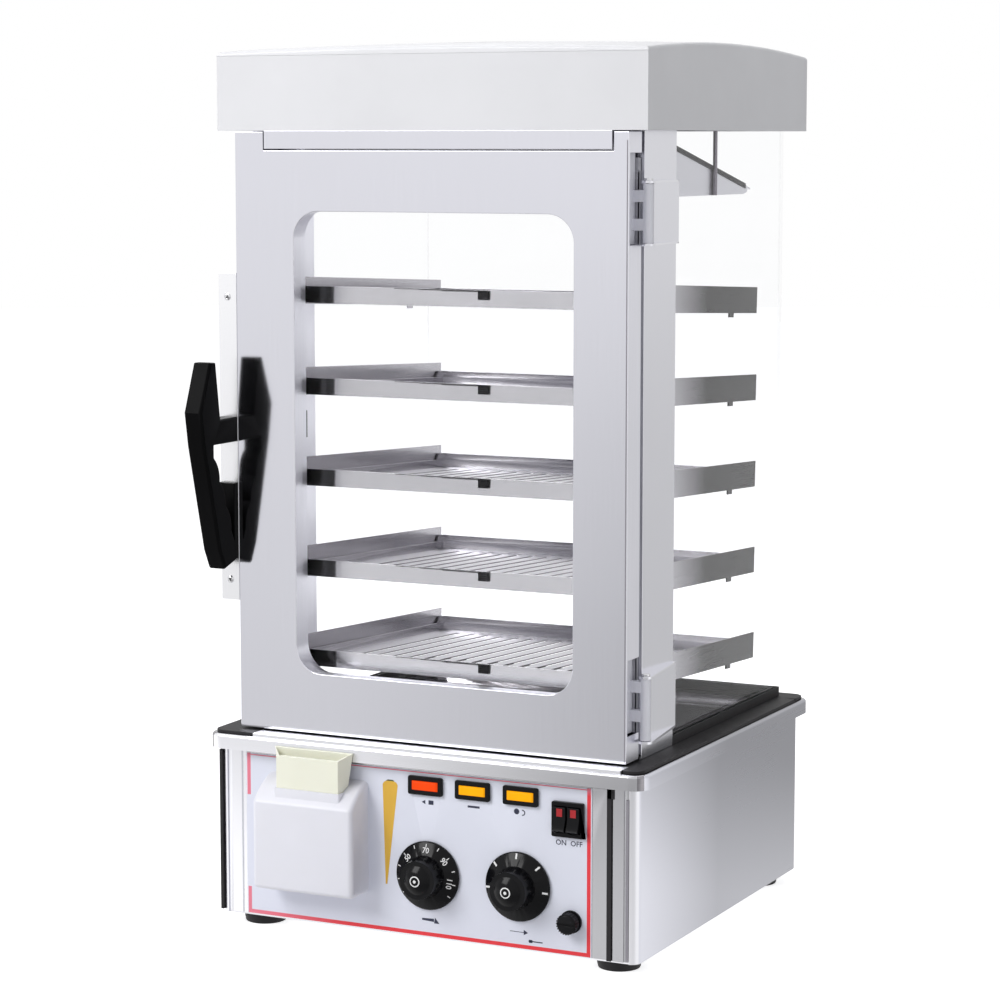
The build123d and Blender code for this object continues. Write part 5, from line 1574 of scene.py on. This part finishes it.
@dataclass
class Studio:
    """Plain pale floor, soft lamps and the camera."""

    lamps: Sequence[Lamp] = (Lamp("key_lamp", (-1.5, -2.3, 2.1), (0.0, 0.0, 0.35), 1.6, 58.0),
                             Lamp("fill_lamp", (2.3, -0.9, 1.2), (0.0, 0.0, 0.35), 1.8, 2.0),
                             Lamp("top_lamp", (-0.1, 0.4, 2.4), (0.0, 0.0, 0.3), 2.0, 16.0))
    camera_place: Point = (1.0570, -2.1795, 0.6340)
    camera_turn: Point = (83.06, 0.0, 26.22)
    lens: float = 106.06
    sensor_width: float = 36.0
    near_clip: float = 0.05
    far_clip: float = 60.0
    white: Colour = (1.0, 1.0, 1.0)
    sky: Colour = (0.96, 0.97, 1.0)
    sky_strength: float = 0.46
    floor_radius: float = 9.0
    floor_colour: Colour = (0.80, 0.80, 0.80)
    floor_glow: float = 0.70
    brighter_ahead: tuple[float, ...] = (-0.85, -0.45, 0.0, 0.75)
    darker_behind: tuple[float, ...] = (0.1, 0.65, 0.0, 0.85)

    def build(self) -> None:
        """Builds floor, world, lamps and camera."""
        self.floor()
        self.world()
        for lamp in self.lamps:
            lamp.build()
        self.camera()

    def camera(self) -> None:
        """Sets up the camera and how its picture is shown."""
        camera = put("camera", bpy.data.cameras.new("camera"))
        camera.location = self.camera_place
        camera.rotation_euler = tuple(math.radians(a) for a in self.camera_turn)
        camera.data.lens = self.lens
        camera.data.sensor_width = self.sensor_width
        camera.data.clip_start = self.near_clip
        camera.data.clip_end = self.far_clip
        bpy.context.scene.camera = camera
        bpy.context.scene.view_settings.view_transform = "Standard"

    def rays(self, w: Wiring) -> tuple[Socket, Socket, Socket]:
        """Sorts the rays that reach the background.

        Args:
            w: the wiring of the tree that asks.

        Returns:
            1 for camera, glossy and transmission rays, 1 for mirrored rays alone, the studio's brightness.
        """
        path = w.add("ShaderNodeLightPath").outputs
        camera, glossy, passing = (path[f"Is {kind} Ray"] for kind in ("Camera", "Glossy", "Transmission"))
        seen = w.math("MAXIMUM", camera, glossy, passing)
        mirrored = w.math("SUBTRACT", glossy, w.math("MAXIMUM", passing, camera), clamp=True)
        return seen, mirrored, w.group(EFFECTS.studio)[0]

    def world(self) -> None:
        """A white background for what is seen, and a soft even light for what is lit."""
        world = bpy.data.worlds.new("studio")
        bpy.context.scene.world = world
        w = cleared(world)
        seen, mirrored, brightness = self.rays(w)
        strength = w.math("MULTIPLY", brightness, self.sky_strength)
        lit = w.out("ShaderNodeBackground", {"Color": shade(self.sky), "Strength": strength})
        shown = w.out("ShaderNodeMix", {0: mirrored, 2: 1.0, 3: brightness})
        white = w.out("ShaderNodeBackground", {"Color": shade(self.white), "Strength": shown})
        mixed = w.out("ShaderNodeMixShader", {0: seen, 1: lit, 2: white})
        w.add("ShaderNodeOutputWorld", {"Surface": mixed})

    def floor(self) -> None:
        """A pale floor that shows white and keeps the steamer's shadow."""
        work = bmesh.new()
        bmesh.ops.create_circle(work, cap_ends=True, segments=64, radius=self.floor_radius)
        floor = put("floor", plain_mesh(work, "floor"))
        material = bpy.data.materials.new("floor")
        floor.data.materials.append(material)
        w = cleared(material)
        seen, mirrored, brightness = self.rays(w)
        matte = w.out("ShaderNodeBsdfDiffuse", {"Color": shade(self.floor_colour)})
        glow = w.out("ShaderNodeEmission", {"Color": shade(self.white), "Strength": self.floor_glow})
        both = w.out("ShaderNodeAddShader", {0: matte, 1: glow})
        mixed = w.out("ShaderNodeMixShader", {0: seen, 1: matte, 2: both})
        y = w.axes(w.add("ShaderNodeTexCoord").outputs["Object"])[Y]
        ahead = w.math("ADD", 1.0, w.spread(y, *self.brighter_ahead))
        level = w.math("SUBTRACT", ahead, w.spread(y, *self.darker_behind))
        strength = w.math("MULTIPLY", brightness, level)
        mirror_image = w.out("ShaderNodeEmission", {"Color": shade(self.white), "Strength": strength})
        whole = w.out("ShaderNodeMixShader", {0: mirrored, 1: mixed, 2: mirror_image})
        w.add("ShaderNodeOutputMaterial", {"Surface": whole})


def dress_hidden_nodes() -> None:
    """Gives every CAD node that still shows the finish of its slot."""
    for name, node in frame["nodes"].items():
        if not node.hide_render:
            node.data.materials.clear()
            node.data.materials.append(FINISHES[SLOT_OF[name]])
            LOG.info("node %s keeps its own shape", name)


def main() -> None:
    """Builds the sub-assemblies and the studio in order."""
    logging.basicConfig(level=logging.INFO, format="%(name)s: %(message)s")
    for assembly in (BaseHousing(), Controls(), FillingBox(), RearFittings(), Cabinet(), Trays(), Door()):
        LOG.info("building %s", type(assembly).__name__)
        assembly.build()
    dress_hidden_nodes()
    Studio().build()


if __name__ == "__main__":
    main()
